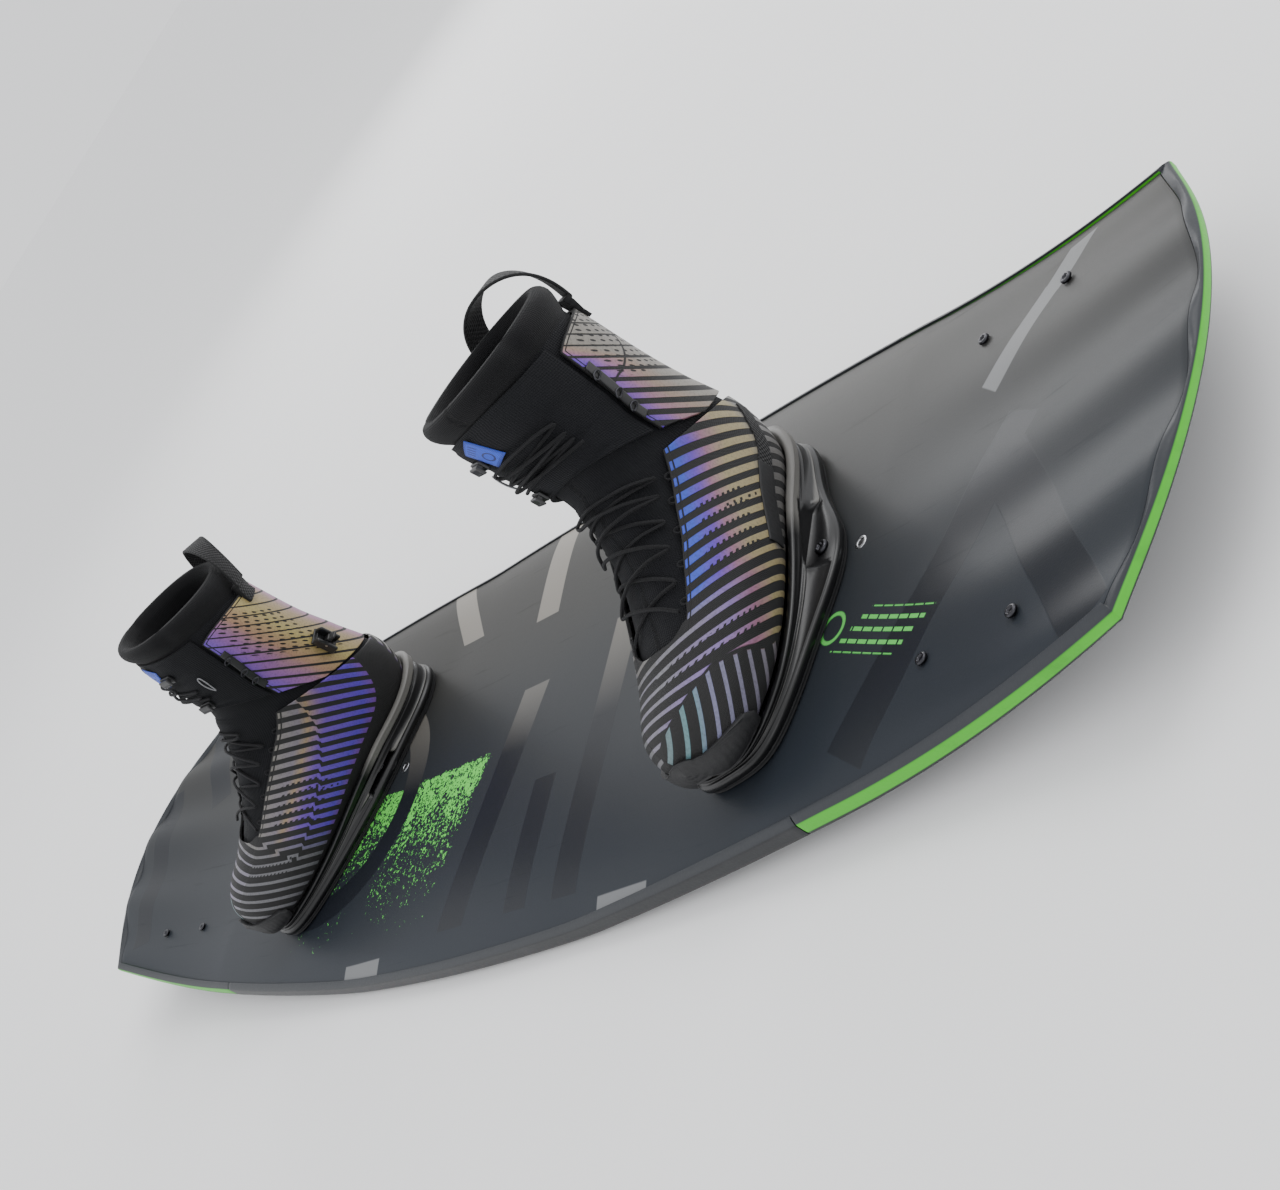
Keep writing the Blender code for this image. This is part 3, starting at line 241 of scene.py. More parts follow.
def deck_paint():
    """Matt printed laminate: slanted bars, chevron and ring in tone, green speckle and fine lines, with painted
    reflections along the toe-side edge.
    """
    p = Paint("printed_laminate", specular=0.22, coat=0.03, coat_roughness=0.3)
    x, y, _ = p.xyz()
    across = p.ramp01((y + 0.22) / 0.44)
    cloud = p.noise(5.0, 3.0)
    ground = p.blend(across + (cloud - 0.5) * 0.25,
                     [(0.0, (0.015, 0.020, 0.028)), (0.45, (0.021, 0.024, 0.028)),
                      (0.72, (0.031, 0.031, 0.0295)), (1.0, (0.041, 0.039, 0.035))])
    toned = p.blend(across, [(0.0, (0.008, 0.010, 0.015)), (0.42, (0.010, 0.012, 0.016)),
                             (0.56, (0.11, 0.105, 0.095)), (0.75, (0.21, 0.195, 0.17)),
                             (1.0, (0.27, 0.25, 0.22))])
    toned = p.mix((0.010, 0.012, 0.016), toned, x.within(0.0, 0.33, 0.05))

    def bar(cx, cy, slant, half, low, high):
        """A bar across the board, its middle line slanted, between two values of y."""
        return (x - cx - (y - cy) * slant).within(0, half) * y.within((low + high) / 2, (high - low) / 2)

    def beam(x1, y1, x2, y2, half):
        """A bar from one point to another with square ends."""
        length = math.hypot(x2 - x1, y2 - y1)
        ux, uy = (x2 - x1) / length, (y2 - y1) / length
        along = (x - x1) * ux + (y - y1) * uy
        off = (y - y1) * ux - (x - x1) * uy
        return along.within(length / 2, length / 2) * off.within(0, half)

    ring = ((x + 0.275) * (x + 0.275) + (y + 0.035) * (y + 0.035)).sqrt()
    ring_line = ring.within(0.105, 0.0145)
    shapes = bar(-0.027, 0.16, -0.22, 0.0175, 0.105, 0.214)
    for sizes in ((-0.190, 0.17, -0.85, 0.018, 0.125, 0.214), (0.140, -0.06, -0.10, 0.0160, -0.190, 0.060),
                  (0.080, -0.12, -0.10, 0.0150, -0.190, -0.075), (0.000, -0.09, 0.08, 0.0190, -0.190, 0.028)):
        shapes = shapes.max(bar(*sizes))
    for sizes in ((0.455, -0.165, 0.570, 0.030, 0.018), (0.560, 0.000, 0.650, -0.150, 0.018),
                  (-0.690, 0.185, -0.600, 0.040, 0.016), (-0.560, 0.120, -0.480, -0.010, 0.016),
                  (-0.700, 0.060, -0.640, -0.130, 0.014)):
        shapes = shapes.max(beam(*sizes))
    shapes = shapes.max(ring_line * x.above(-0.36) * (x + y * 0.3).above(-0.33))
    # pale grey marks: a slanted bar and a beam by the nose on the heel side, and two short bars along the
    # toe-side edge that are painted reflections on its rolled lip
    light = bar(0.585, 0.135, 0.9, 0.012, 0.118, 0.150) + beam(0.530, 0.070, 0.575, 0.125, 0.009)
    light = p.ramp01(light + bar(-0.150, -0.205, 0.0, 0.030, -0.214, -0.198)
                     + bar(0.23, -0.205, 0, 0.03, -0.214, -0.198))
    colour = p.mix(ground, toned, shapes * 0.93)
    # lays the pale marks over the print, the painted edge reflections among them
    colour = p.mix(colour, (0.20, 0.205, 0.21), light * 0.8)

    # green speckle between the boots, thinning towards the toe side
    specks = p.noise(330, 2.0, 0.75)
    clump = p.noise(60, 2.0)
    dense = ((x + 0.215 + (y + 0.03) * -0.35).within(0, 0.042, 0.012)
             + (x + 0.100 + (y + 0.03) * -0.15).within(0, 0.066, 0.012))
    fade = p.ramp01((y + 0.185) / 0.150) * y.below(-0.026, 0.004)
    amount = p.ramp01(dense) * fade
    green = specks.above(0.76 - amount * 0.30 - (clump - 0.5) * 0.30, 0.02) * amount.above(0.03, 0.02)
    colour = p.mix(colour, (0.13, 0.62, 0.09), green * (1 - ring_line))

    # fine plain lines by the toe side of one boot, with a small open ring beside them
    lx, ly = (x - 0.470) * 0.935 - (y + 0.082) * 0.355, (x - 0.470) * 0.355 + (y + 0.082) * 0.935
    row = ly / 0.0085 + 0.5
    lines = row.fract().within(0.5, 0.17, 0.05) * ly.within(0, 0.0165)
    lines = lines * (lx - row.floor() * 0.006).within(0, 0.034)
    gaps = (lx / 0.011).fract().above(0.16, 0.02)
    mark = ((lx + 0.055) * (lx + 0.055) + ly * ly).sqrt().within(0.0105, 0.0014)
    colour = p.mix(colour, (0.11, 0.55, 0.10), p.ramp01(lines * gaps + mark) * 0.9)

    fine = p.noise(900, 2.0)
    scratch = p.noise(40, 4.0, 0.7, p.vector(x * 0.15, y * 3.0, 0.0))
    rough = 0.46 + (fine - 0.5) * 0.10 + scratch.above(0.66, 0.1) * 0.10 - shapes * 0.06
    return p.finish(colour, rough, fine * 0.35 + (shapes + green) * 0.4, 0.00012)


def edge_paint(name, colour, dark):
    """The moulded rail: black low down, its colour at the side and the deck's tone at the lip."""
    p = Paint(name, specular=0.35, coat=0.05)
    low = p.attribute("rise").below(0.30, 0.06)
    wear = p.noise(30, 4.0, 0.7)
    fine = p.noise(500, 2.0)
    colour = p.mix(colour, dark, wear.above(0.62, 0.2) * 0.45)
    colour = p.mix(colour, (0.008, 0.009, 0.010), low)
    colour = p.mix(colour, (0.022, 0.025, 0.030), p.attribute("rise").above(0.88, 0.05))
    return p.finish(colour, 0.40 + fine * 0.15, fine, 0.0001)


def plain_paint(name, colour, roughness=0.5, metallic=0.0, grain=400, bump=0.0001, coat=0.0):
    """Moulded or cast surface with a fine grain and slight wear."""
    p = Paint(name, roughness=roughness, metallic=metallic, coat=coat)
    fine = p.noise(grain, 3.0)
    broad = p.noise(25, 3.0)
    high = tuple(min(1, c * 1.5 + 0.002) for c in colour)
    worn = p.mix(colour, high, p.ramp01(broad * 1.6 - 0.5))
    return p.finish(worn, roughness - 0.08 + fine * 0.16, fine, bump)


def weave_paint(name, colour, pitch, roughness=0.85, depth=0.0004, sheen=0.03, turned=True):
    """Fabric with a diamond or square weave over the attributes mm_up and mm_round."""
    p = Paint(name, roughness=roughness, specular=0.25, sheen=sheen)
    a, b = p.attribute("mm_up"), p.attribute("mm_round")
    if turned:
        a, b = a + b, a - b
    weave = (a * (math.pi / pitch)).sin() * (b * (math.pi / pitch)).sin()
    fuzz = p.noise(700, 2.0)
    broad = p.noise(18, 3.0)
    high = tuple(c * 2.2 + 0.002 for c in colour)
    shade = p.mix(colour, high, p.ramp01(weave * 0.35 + 0.3 + (broad - 0.5) * 0.7))
    return p.finish(shade, roughness + (fuzz - 0.5) * 0.1, weave * 0.7 + fuzz * 0.3, depth)


MATS = {
    "deck": deck_paint(),
    "base": plain_paint("base_laminate_gloss", (0.013, 0.014, 0.017), 0.30, grain=300, coat=0.3),
    "green": edge_paint("green_edge_moulding", (0.055, 0.43, 0.012), (0.03, 0.24, 0.01)),
    "black_edge": edge_paint("black_edge_moulding", (0.009, 0.010, 0.012), (0.03, 0.03, 0.034)),
    "core": plain_paint("core_foam", (0.70, 0.66, 0.52), 0.9, grain=250, bump=0.0004),
    "steel": plain_paint("stainless", (0.55, 0.56, 0.58), 0.30, 1.0, 900, 0.00006),
    "dark_steel": plain_paint("blackened_steel", (0.045, 0.045, 0.05), 0.32, 1.0, 900, 0.00006),
    "fin": plain_paint("fin_nylon", (0.012, 0.012, 0.014), 0.42, grain=500),
    "rubber": plain_paint("black_rubber", (0.006, 0.006, 0.0068), 0.62, grain=350, bump=0.0002),
    "nylon": plain_paint("black_nylon", (0.007, 0.007, 0.008), 0.38, grain=500, coat=0.1),
    "foam": plain_paint("grey_foam", (0.075, 0.075, 0.085), 0.92, grain=500, bump=0.0005),
    "knit": weave_paint("black_knit", (0.0035, 0.0038, 0.0050), 1.5, 0.82, 0.00035),
    "neoprene": weave_paint("black_neoprene", (0.003, 0.003, 0.0036), 1.1, 0.9, 0.0002, 0.05),
    "webbing": weave_paint("black_webbing", (0.007, 0.007, 0.0075), 2.0, 0.7, 0.0005, 0.05, turned=False),
    "steel_cord": weave_paint("grey_cord", (0.20, 0.20, 0.21), 0.9, 0.45, 0.0002),
    "cord": weave_paint("black_cord", (0.006, 0.006, 0.007), 1.2, 0.7, 0.0003),
}


# ---------------------------------------------------------------- mesh helpers

def linked(name, mesh):
    obj = bpy.data.objects.new(name, mesh)
    bpy.context.scene.collection.objects.link(obj)
    return obj


def new_object(name, verts, faces, mat, attributes=None, flip=False):
    """A smooth-shaded mesh object with one value per vertex for each attribute."""
    mesh = bpy.data.meshes.new(name)
    if flip:
        faces = [face[::-1] for face in faces]
    mesh.from_pydata([tuple(v) for v in verts], [], [tuple(f) for f in faces])
    mesh.update()
    for key, values in (attributes or {}).items():
        layer = mesh.attributes.new(key, "FLOAT", "POINT")
        layer.data.foreach_set("value", np.asarray(values, np.float32).ravel())
    mesh.polygons.foreach_set("use_smooth", [True] * len(mesh.polygons))
    mesh.materials.append(mat)
    return linked(name, mesh)


def cleaned(obj, merge=0.0):
    """Turns every face outwards, after joining vertices closer than merge."""
    bm = bmesh.new()
    bm.from_mesh(obj.data)
    if merge:
        bmesh.ops.remove_doubles(bm, verts=bm.verts, dist=merge)
    bmesh.ops.recalc_face_normals(bm, faces=bm.faces)
    bm.to_mesh(obj.data)
    bm.free()
    return obj


def soften(obj, width, segments=2, angle=40):
    """Rounds the edges sharper than an angle in degrees."""
    bevel = obj.modifiers.new("bevel", "BEVEL")
    bevel.width = width
    bevel.segments = segments
    bevel.limit_method = "ANGLE"
    bevel.angle_limit = math.radians(angle)
    bevel.harden_normals = False
    return obj


def solid_faces(keep, cols):
    """Faces of a closed solid between two equal grids, the second one after the first."""
    rows = len(keep) + 1
    offset = rows * cols
    faces = []
    for r, c in np.argwhere(keep).tolist():
        a, b, e, f = r * cols + c, r * cols + c + 1, (r + 1) * cols + c + 1, (r + 1) * cols + c
        faces.append((a, b, e, f))
        faces.append((a + offset, f + offset, e + offset, b + offset))
        if r == 0 or not keep[r - 1, c]:
            faces.append((b, a, a + offset, b + offset))
        if r == rows - 2 or not keep[r + 1, c]:
            faces.append((f, e, e + offset, f + offset))
        if c == 0 or not keep[r, c - 1]:
            faces.append((a, f, f + offset, a + offset))
        if c == cols - 2 or not keep[r, c + 1]:
            faces.append((e, b, b + offset, e + offset))
    return faces


def grid_solid(name, outer, inner, mat, attributes=None, keep=None, flip=False, bevel=0.0):
    """A closed layer between two grids of points; attributes are one value per grid point."""
    rows, cols = outer.shape[:2]
    verts = np.concatenate([outer.reshape(-1, 3), inner.reshape(-1, 3)])
    faces = solid_faces(np.ones((rows - 1, cols - 1), bool) if keep is None else keep, cols)
    used = sorted({i for face in faces for i in face})
    index = {old: new for new, old in enumerate(used)}
    faces = [tuple(index[i] for i in face) for face in faces]
    doubled = {key: np.tile(np.broadcast_to(values, (rows, cols)).ravel(), 2)[used]
               for key, values in (attributes or {}).items()}
    obj = cleaned(new_object(name, verts[used], faces, mat, doubled, flip), 2e-6)
    if bevel:
        soften(obj, bevel)
    return obj


def strip_faces(rows, cols, closed):
    """Faces between neighbouring closed rings of cols points."""
    return [(r * cols + c, r * cols + (c + 1) % cols, (r + 1) % rows * cols + (c + 1) % cols,
             (r + 1) % rows * cols + c) for r in range(rows if closed else rows - 1) for c in range(cols)]


def ring_solid(name, rings, mat, attributes=None, caps=True, closed=False, flip=False):
    """A tube through closed rings of points, with flat ends, or closed on itself."""
    rings = np.asarray(rings)
    rows, cols = rings.shape[:2]
    faces = strip_faces(rows, cols, closed)
    if caps and not closed:
        faces.append(tuple(range(cols))[::-1])
        faces.append(tuple((rows - 1) * cols + c for c in range(cols)))
    values = {key: np.broadcast_to(v, (rows, cols)).ravel() for key, v in (attributes or {}).items()}
    return cleaned(new_object(name, rings.reshape(-1, 3), faces, mat, values, flip))


def smoothstep(value, low, high):
    """0 below low, 1 above high, and a smooth rise between them."""
    t = np.clip((np.asarray(value, float) - low) / (high - low), 0, 1)
    return t * t * (3 - 2 * t)


# ---------------------------------------------------------------- the board's surfaces

def board_xy(u, v, inset=0.0):
    """Plan of the board from u along it and v across it, each from -1 to 1."""
    corner = 1 + CORNER_REACH * (u * u * v * v) ** 6
    x = u * (LENGTH / 2 - TIP_SWEEP * v * v - inset) * corner
    y = v * (WIDTH / 2 - (WIDTH / 2 - TIP_HALF_WIDTH) * np.abs(u) ** TAPER_POWER - inset) * corner
    return x, y


def rocker(x):
    """Height of the base: flat in the middle, a ramp with a rounded start, then a curved tip."""
    a = np.abs(x)
    blend = np.clip(a - (RAMP_START - RAMP_BLEND), 0, 2 * RAMP_BLEND)
    ramp = RAMP_SLOPE * (blend ** 2 / (4 * RAMP_BLEND) + np.maximum(a - RAMP_START - RAMP_BLEND, 0))
    tip = np.maximum(a - TIP_START, 0)
    growth = (TIP_SLOPE - RAMP_SLOPE) / (LENGTH / 2 - TIP_START)
    return ramp + growth * tip ** 2 / 2


def tip_share(x):
    """0 up to where the tips start, rising to 1 at the ends."""
    return np.clip((np.abs(x) - TIP_START) / (LENGTH / 2 - TIP_START), 0, 1)


def flute(x, v):
    """Channels that deepen towards the tip."""
    return FLUTE_DEPTH * tip_share(x) * np.cos(2 * math.pi * v / FLUTE_PITCH) * (1 - v ** 8)


def rail_height(x):
    """Thickness of the board at its rail."""
    return RAIL_HEIGHT + (TIP_RAIL_HEIGHT - RAIL_HEIGHT) * tip_share(x)


def base_z(u, v):
    """Height of the board's underside."""
    x, _ = board_xy(u, v)
    return rocker(x) + np.minimum(flute(x, v), 0)


def deck_z(u, v, inset=0.0):
    """Height of the deck."""
    x, _ = board_xy(u, v, inset)
    crown = CROWN * (1 - 0.4 * tip_share(x)) * (1 - np.abs(v) ** 8) * (1 - np.abs(u) ** 20)
    return rocker(x) + rail_height(x) + crown + flute(x, v)


def deck_on_ramp(x):
    """Height of the deck's middle line on the straight ramps, where the boots stand."""
    return RAIL_HEIGHT + CROWN + RAMP_SLOPE * (abs(x) - RAMP_START)


def to_board(obj, finish, *nodes):
    """Fixes a visual piece to the board, in place of CAD nodes if any are named."""
    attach(obj, "board")
    if nodes:
        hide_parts(*nodes)


def make_board():
    """The two skins of the board."""
    inset = EDGE_WIDTH + GAP
    u, v = np.meshgrid(np.linspace(-1, 1, 261), np.sin(np.linspace(-1, 1, 91) * 1.45) / math.sin(1.45),
                       indexing="ij")
    x, y = board_xy(u, v, inset)
    top, base = deck_z(u, v, inset), base_z(u, v)
    for name, high, low, mat, finish in (
            ("top_laminate", top, top - LAMINATE, "deck", "printed_laminate"),
            ("base_laminate", base + LAMINATE, base, "base", "base_laminate")):
        skin = grid_solid("skin_" + name, np.stack([x, y, high], -1), np.stack([x, y, low], -1), MATS[mat],
                          bevel=0.4 * MM)
        to_board(skin, finish, name)


def make_edges():
    """The rail in four lengths, its section running round the plan of the board."""
    split = 0.5 * MM / (LENGTH / 2)
    tip = np.linspace(GREEN_FROM + split, 1, 60)
    across = np.sin(np.linspace(-1, 1, 121)[1:-1] * 1.5) / math.sin(1.5)
    around = [(a, -1.0) for a in tip] + [(1.0, b) for b in across] + [(a, 1.0) for a in tip[::-1]]
    middle = np.linspace(-GREEN_FROM + split, GREEN_FROM - split, 160)
    shares = [0, 0, 0.02, 0.10, 0.20, 0.34, 0.75, 0.85, 0.92, 0.97, 1, 1]  # how high each section point is
    for name, side, path, colour in (("nose_edge", 1, around, "green"), ("tail_edge", -1, around, "green"),
                                     ("toe_side_edge", 1, [(a, -1.0) for a in middle], "black"),
                                     ("heel_side_edge", 1, [(a, 1.0) for a in middle], "black")):
        rings = []
        for a, b in path:
            px = board_xy(a, b)[0]
            height, low = rail_height(px), rocker(px)
            lip = deck_z(a, b, EDGE_WIDTH)
            if abs(b) == 1:
                lip = deck_z(a, b * (1 - EDGE_WIDTH / (WIDTH / 2)))
            high = low + height
            section = ((EDGE_WIDTH, low), (4 * MM, low), (2.4 * MM, low + 0.02 * height),
                       (1.1 * MM, low + 0.10 * height), (0.3 * MM, low + 0.20 * height),
                       (0, low + 0.34 * height), (0, high - 3.6 * MM), (0.25 * MM, high - 2.3 * MM),
                       (0.8 * MM, high - 1.3 * MM), (1.9 * MM, high - 0.5 * MM),
                       (3.4 * MM, (high + lip) / 2), (EDGE_WIDTH, lip))
            ring = []
            for inset, z in section:
                x, y = board_xy(a, b, inset)
                ring.append((side * x, y, z))
            rings.append(ring)
        mat = MATS["green" if colour == "green" else "black_edge"]
        obj = ring_solid("moulding_" + name, rings, mat, {"rise": np.tile(shares, (len(rings), 1))})
        soften(obj, 0.3 * MM, 2, 60)
        to_board(obj, colour + "_edge", name)


def circle(place, reach, z, steps):
    """Points round an axis; reach is one radius or a function of the angle."""
    turns = [2 * math.pi * n / steps for n in range(steps)]
    radii = [reach(turn) if callable(reach) else reach for turn in turns]
    return [tuple(place @ Vector((r * math.cos(turn), r * math.sin(turn), z))) for r, turn in zip(radii, turns)]


def lathe(name, profile, steps, mat, place):
    """A turned piece from (radius, height) points, placed by a matrix."""
    rings = np.array([circle(place, r, z, steps) for r, z in profile]).transpose(1, 0, 2)
    rows, cols = rings.shape[:2]
    faces = [(r * cols + c, r * cols + c + 1, ((r + 1) % rows) * cols + c + 1, ((r + 1) % rows) * cols + c)
             for r in range(rows) for c in range(cols - 1)]
    return soften(cleaned(new_object(name, rings.reshape(-1, 3), faces, mat), 1e-6), 0.15 * MM, 2, 35)


def joined(name, objects):
    """One object from several, their modifiers applied."""
    graph = bpy.context.evaluated_depsgraph_get()
    bm = bmesh.new()
    mats = []
    for obj in objects:
        for mat in obj.data.materials:
            if mat not in mats:
                mats.append(mat)
    for obj in objects:
        mesh = bpy.data.meshes.new_from_object(obj.evaluated_get(graph))
        mesh.transform(obj.matrix_world)
        first = len(bm.faces)
        index = mats.index(obj.data.materials[0])
        bm.from_mesh(mesh)
        bm.faces.ensure_lookup_table()
        for face in bm.faces[first:]:
            face.material_index = index
        bpy.data.meshes.remove(mesh)
    mesh = bpy.data.meshes.new(name)
    bm.to_mesh(mesh)
    bm.free()
    for mat in mats:
        mesh.materials.append(mat)
    for obj in objects:
        bpy.data.objects.remove(obj)
    return linked(name, mesh)


def make_insert_rings():
    """The open mouths of the threaded inserts that show at the deck, the dark hole in each drawn as a flat
    black disc of painted shade.
    """
    mouth = [(r * MM, z * MM) for r, z in ((2.5, -1.6), (2.7, 0.15), (3.0, 0.45), (4.6, 0.45), (5.2, 0.1),
                                           (5.2, -1.6), (2.5, -1.6))]
    # a flat black disc across the mouth, in the black rubber material, is painted shade standing in for the
    # dark threaded hole
    hole = [(r * MM, z * MM) for r, z in ((0, 0.06), (2.55, 0.06), (2.55, -1.2), (0, -1.2))]
    for side, name in ((1, "left"), (-1, "right")):
        rings = []
        turn = Matrix.Rotation(-math.atan(side * RAMP_SLOPE), 4, "Y")
        for n in range(INSERTS):
            px = side * (INSERT_FIRST + INSERT_PITCH * n)
            place = Matrix.Translation((px, 0, deck_on_ramp(px))) @ turn
            rings.append(lathe("ring", mouth, 28, MATS["steel"], place))
            # the black disc of painted shade for the hole
            rings.append(lathe("hole", hole, 20, MATS["rubber"], place))
        to_board(joined(name + "_insert_mouths", rings), "stainless_steel")


def torx_head(name, node, radius, height):
    """A domed screw with a six-lobed socket in place of a plain one, its axis found from its end faces."""
    obj = frame["nodes"][node]
    points = np.array([tuple(obj.matrix_world @ v.co) for v in obj.data.vertices])
    top = points[points[:, 2] > points[:, 2].max() - 1.2 * MM].mean(0)
    bottom = points[points[:, 2] < points[:, 2].min() + 1.2 * MM].mean(0)
    axis = Vector(top - bottom).normalized()
    turn = axis.to_track_quat("Z", "Y").to_matrix().to_4x4()
    place = Matrix.Translation(Vector(top)) @ turn
    length = (Vector(top) - Vector(bottom)).length
    shank = 0.42 * radius + 0.3 * MM
    steps, socket = 72, 0.52 * radius

    def lobed(share):
        return lambda turned: socket * max(share, 1e-3) * (1 + 0.13 * math.cos(6 * turned))

    rings = [circle(place, lobed(share), z, steps)
             for share, z in ((0, -0.55 * height), (0.6, -0.55 * height), (0.98, -0.5 * height),
                              (1.0, -0.02 * height), (1.12, 0))]
    rings += [circle(place, reach, z, steps)
              for reach, z in ((0.72 * radius, 0.0), (0.9 * radius, -0.12 * height),
                               (0.98 * radius, -0.35 * height), (radius, -0.6 * height), (radius, -height),
                               (shank, -height), (shank, -length), (1e-4, -length))]
    return ring_solid(name, rings, MATS["dark_steel"])


def repaint(node, mat):
    """Puts a material on a CAD node that stays visible."""
    for slot in frame["nodes"][node].material_slots:
        slot.material = mat


def make_fins_and_screws():
    for node in sorted(frame["nodes"]):
        if node.startswith("fin_screw_"):
            screw = torx_head(node.replace("fin_screw", "torx"), node, 4.2 * MM, 2.0 * MM)
            to_board(screw, "stainless_steel", node)
        elif node.startswith("fin_"):
            repaint(node, MATS["fin"])
        elif "insert_rail" in node:
            repaint(node, MATS["steel"])
        elif node == "foam_core":
            repaint(node, MATS["core"])


# ---------------------------------------------------------------- camera, light and floor

def make_studio():
    """Camera as the photograph was taken, a pale floor and soft light from four sides."""
    camera = linked("camera", bpy.data.cameras.new("camera"))
    camera.data.lens, camera.data.sensor_width, camera.data.sensor_fit = 46.49, 36, "HORIZONTAL"
    camera.data.clip_start = 0.05
    right = Vector((0.5861954, 0.2516947, -0.7700810))
    up = Vector((0.2954858, 0.8186231, 0.4924879))
    turn = Matrix((right, up, right.cross(up))).transposed().to_4x4()
    camera.matrix_world = Matrix.Translation((1.12616, -0.60351, 0.55512)) @ turn
    bpy.context.scene.camera = camera

    floor_mat = Paint("studio_floor", specular=0.2)
    fine = floor_mat.noise(14, 3.0)
    shade = floor_mat.mix((0.94, 0.94, 0.94), (0.96, 0.96, 0.96), fine)
    floor = new_object("floor", [(-30, -30, 0), (30, -30, 0), (30, 30, 0), (-30, 30, 0)], [(0, 1, 2, 3)],
                       floor_mat.finish(shade, 0.75))
    floor.location.z = -0.002

    world = bpy.data.worlds.new("studio")
    bpy.context.scene.world = world
    world.use_nodes = True
    world.node_tree.nodes["Background"].inputs[0].default_value = (0.97, 0.98, 1.0, 1)
    world.node_tree.nodes["Background"].inputs[1].default_value = 1.25
    aim = Vector((0.05, 0.0, 0.08))
    for name, at, size, power in (("key", (1.2, 1.6, 2.4), 1.6, 34), ("fill", (-1.8, -1.6, 1.8), 2.2, 10),
                                  ("low", (2.4, -1.0, 0.7), 1.0, 5), ("back", (-1.2, 2.2, 1.2), 1.4, 18)):
        data = bpy.data.lights.new(name, "AREA")
        data.size, data.energy = size, power
        lamp = linked(name, data)
        lamp.location = at
        lamp.rotation_euler = (aim - Vector(at)).to_track_quat("-Z", "Y").to_euler()


make_studio()
make_board()
make_edges()
make_insert_rings()
make_fins_and_screws()


# ---------------------------------------------------------------- the boot's surface

def boot_section(station):
    """The rows of SECTIONS at stations between them, on smooth curves."""
    last = len(SECTIONS) - 1
    station = np.clip(station, 0, last)
    i = np.minimum(station.astype(int), last - 1)
    t = (station - i)[..., None]
    here, there = SECTIONS[i], SECTIONS[i + 1]
    before, after = SECTIONS[np.maximum(i - 1, 0)], SECTIONS[np.minimum(i + 2, last)]
    leave = np.where((i == 0)[..., None], there - here, (there - before) / 2)
    arrive = np.where((i == last - 1)[..., None], there - here, (after - here) / 2)
    return ((2 * t ** 3 - 3 * t ** 2 + 1) * here + (t ** 3 - 2 * t ** 2 + t) * leave
            + (3 * t ** 2 - 2 * t ** 3) * there + (t ** 3 - t ** 2) * arrive)


def boot_points(station, angle, inset=0.0):
    """Points on the boot: angle in degrees is 0 at the heel or sole, 90 outside, 180 in front."""
    station, angle, inset = np.broadcast_arrays(np.asarray(station, float), np.asarray(angle, float),
                                                np.asarray(inset, float))
    values = boot_section(station)
    front, back = values[..., 0:2].copy(), values[..., 2:4].copy()
    half, centre, widest, square_back, square_front = (values[..., n] for n in range(4, 9))
    shrink = inset * np.clip(station, 0, 1)
    span = back - front
    size = np.linalg.norm(span, axis=-1)
    along = span / np.maximum(size, 1e-6)[..., None]
    front += along * shrink[..., None]
    back -= along * shrink[..., None]
    half = np.maximum(half - shrink, 0)
    turn = np.radians(angle)
    cosine, sine = np.cos(turn), np.sin(turn)
    power = 2 / np.where(cosine > 0, square_back, square_front)
    across = half * np.sign(sine) * np.abs(sine) ** power
    reach = np.abs(cosine) ** power
    share = np.where(cosine > 0, widest * (1 - reach), widest + (1 - widest) * reach)
    place = back + (front - back) * share[..., None]
    toe_shift = inset * np.clip(1 - station / 3, 0, 1) ** 2
    return np.stack([centre + across, place[..., 0] + toe_shift, place[..., 1]], -1)


def ankle_side(points, upper):
    """Height of points above the cut at the ankle: its lower side, or its wedged upper side."""
    level = math.hypot(1, ANKLE_PLANE_SLOPE)
    dy, dz = points[..., 1] - ANKLE[1], points[..., 2] - ANKLE[2]
    height = (dz - ANKLE_PLANE_SLOPE * dy) / level
    along = (dy + ANKLE_PLANE_SLOPE * dz) / level
    if not upper:
        return height + ANKLE_GAP
    front = math.tan(math.radians(FRONT_WEDGE)) * np.maximum(-along, 0)
    rear = math.tan(math.radians(REAR_WEDGE)) * np.maximum(along, 0)
    return height - ANKLE_GAP - front - rear


def ankle_cut(angle, inset, upper):
    """The station at which the boot's surface meets the cut, at each angle."""
    angle = np.asarray(angle, float)
    low, high = np.full(angle.shape, 6.0), np.full(angle.shape, 11.0)
    for _ in range(40):
        middle = (low + high) / 2
        above = ankle_side(boot_points(middle, angle, inset), upper) > 0
        high = np.where(above, middle, high)
        low = np.where(above, low, middle)
    return (low + high) / 2


def throat_edge(station):
    """The angle at which the foot shell ends beside the tongue."""
    return np.interp(station, THROAT_STATIONS, THROAT_EDGE)


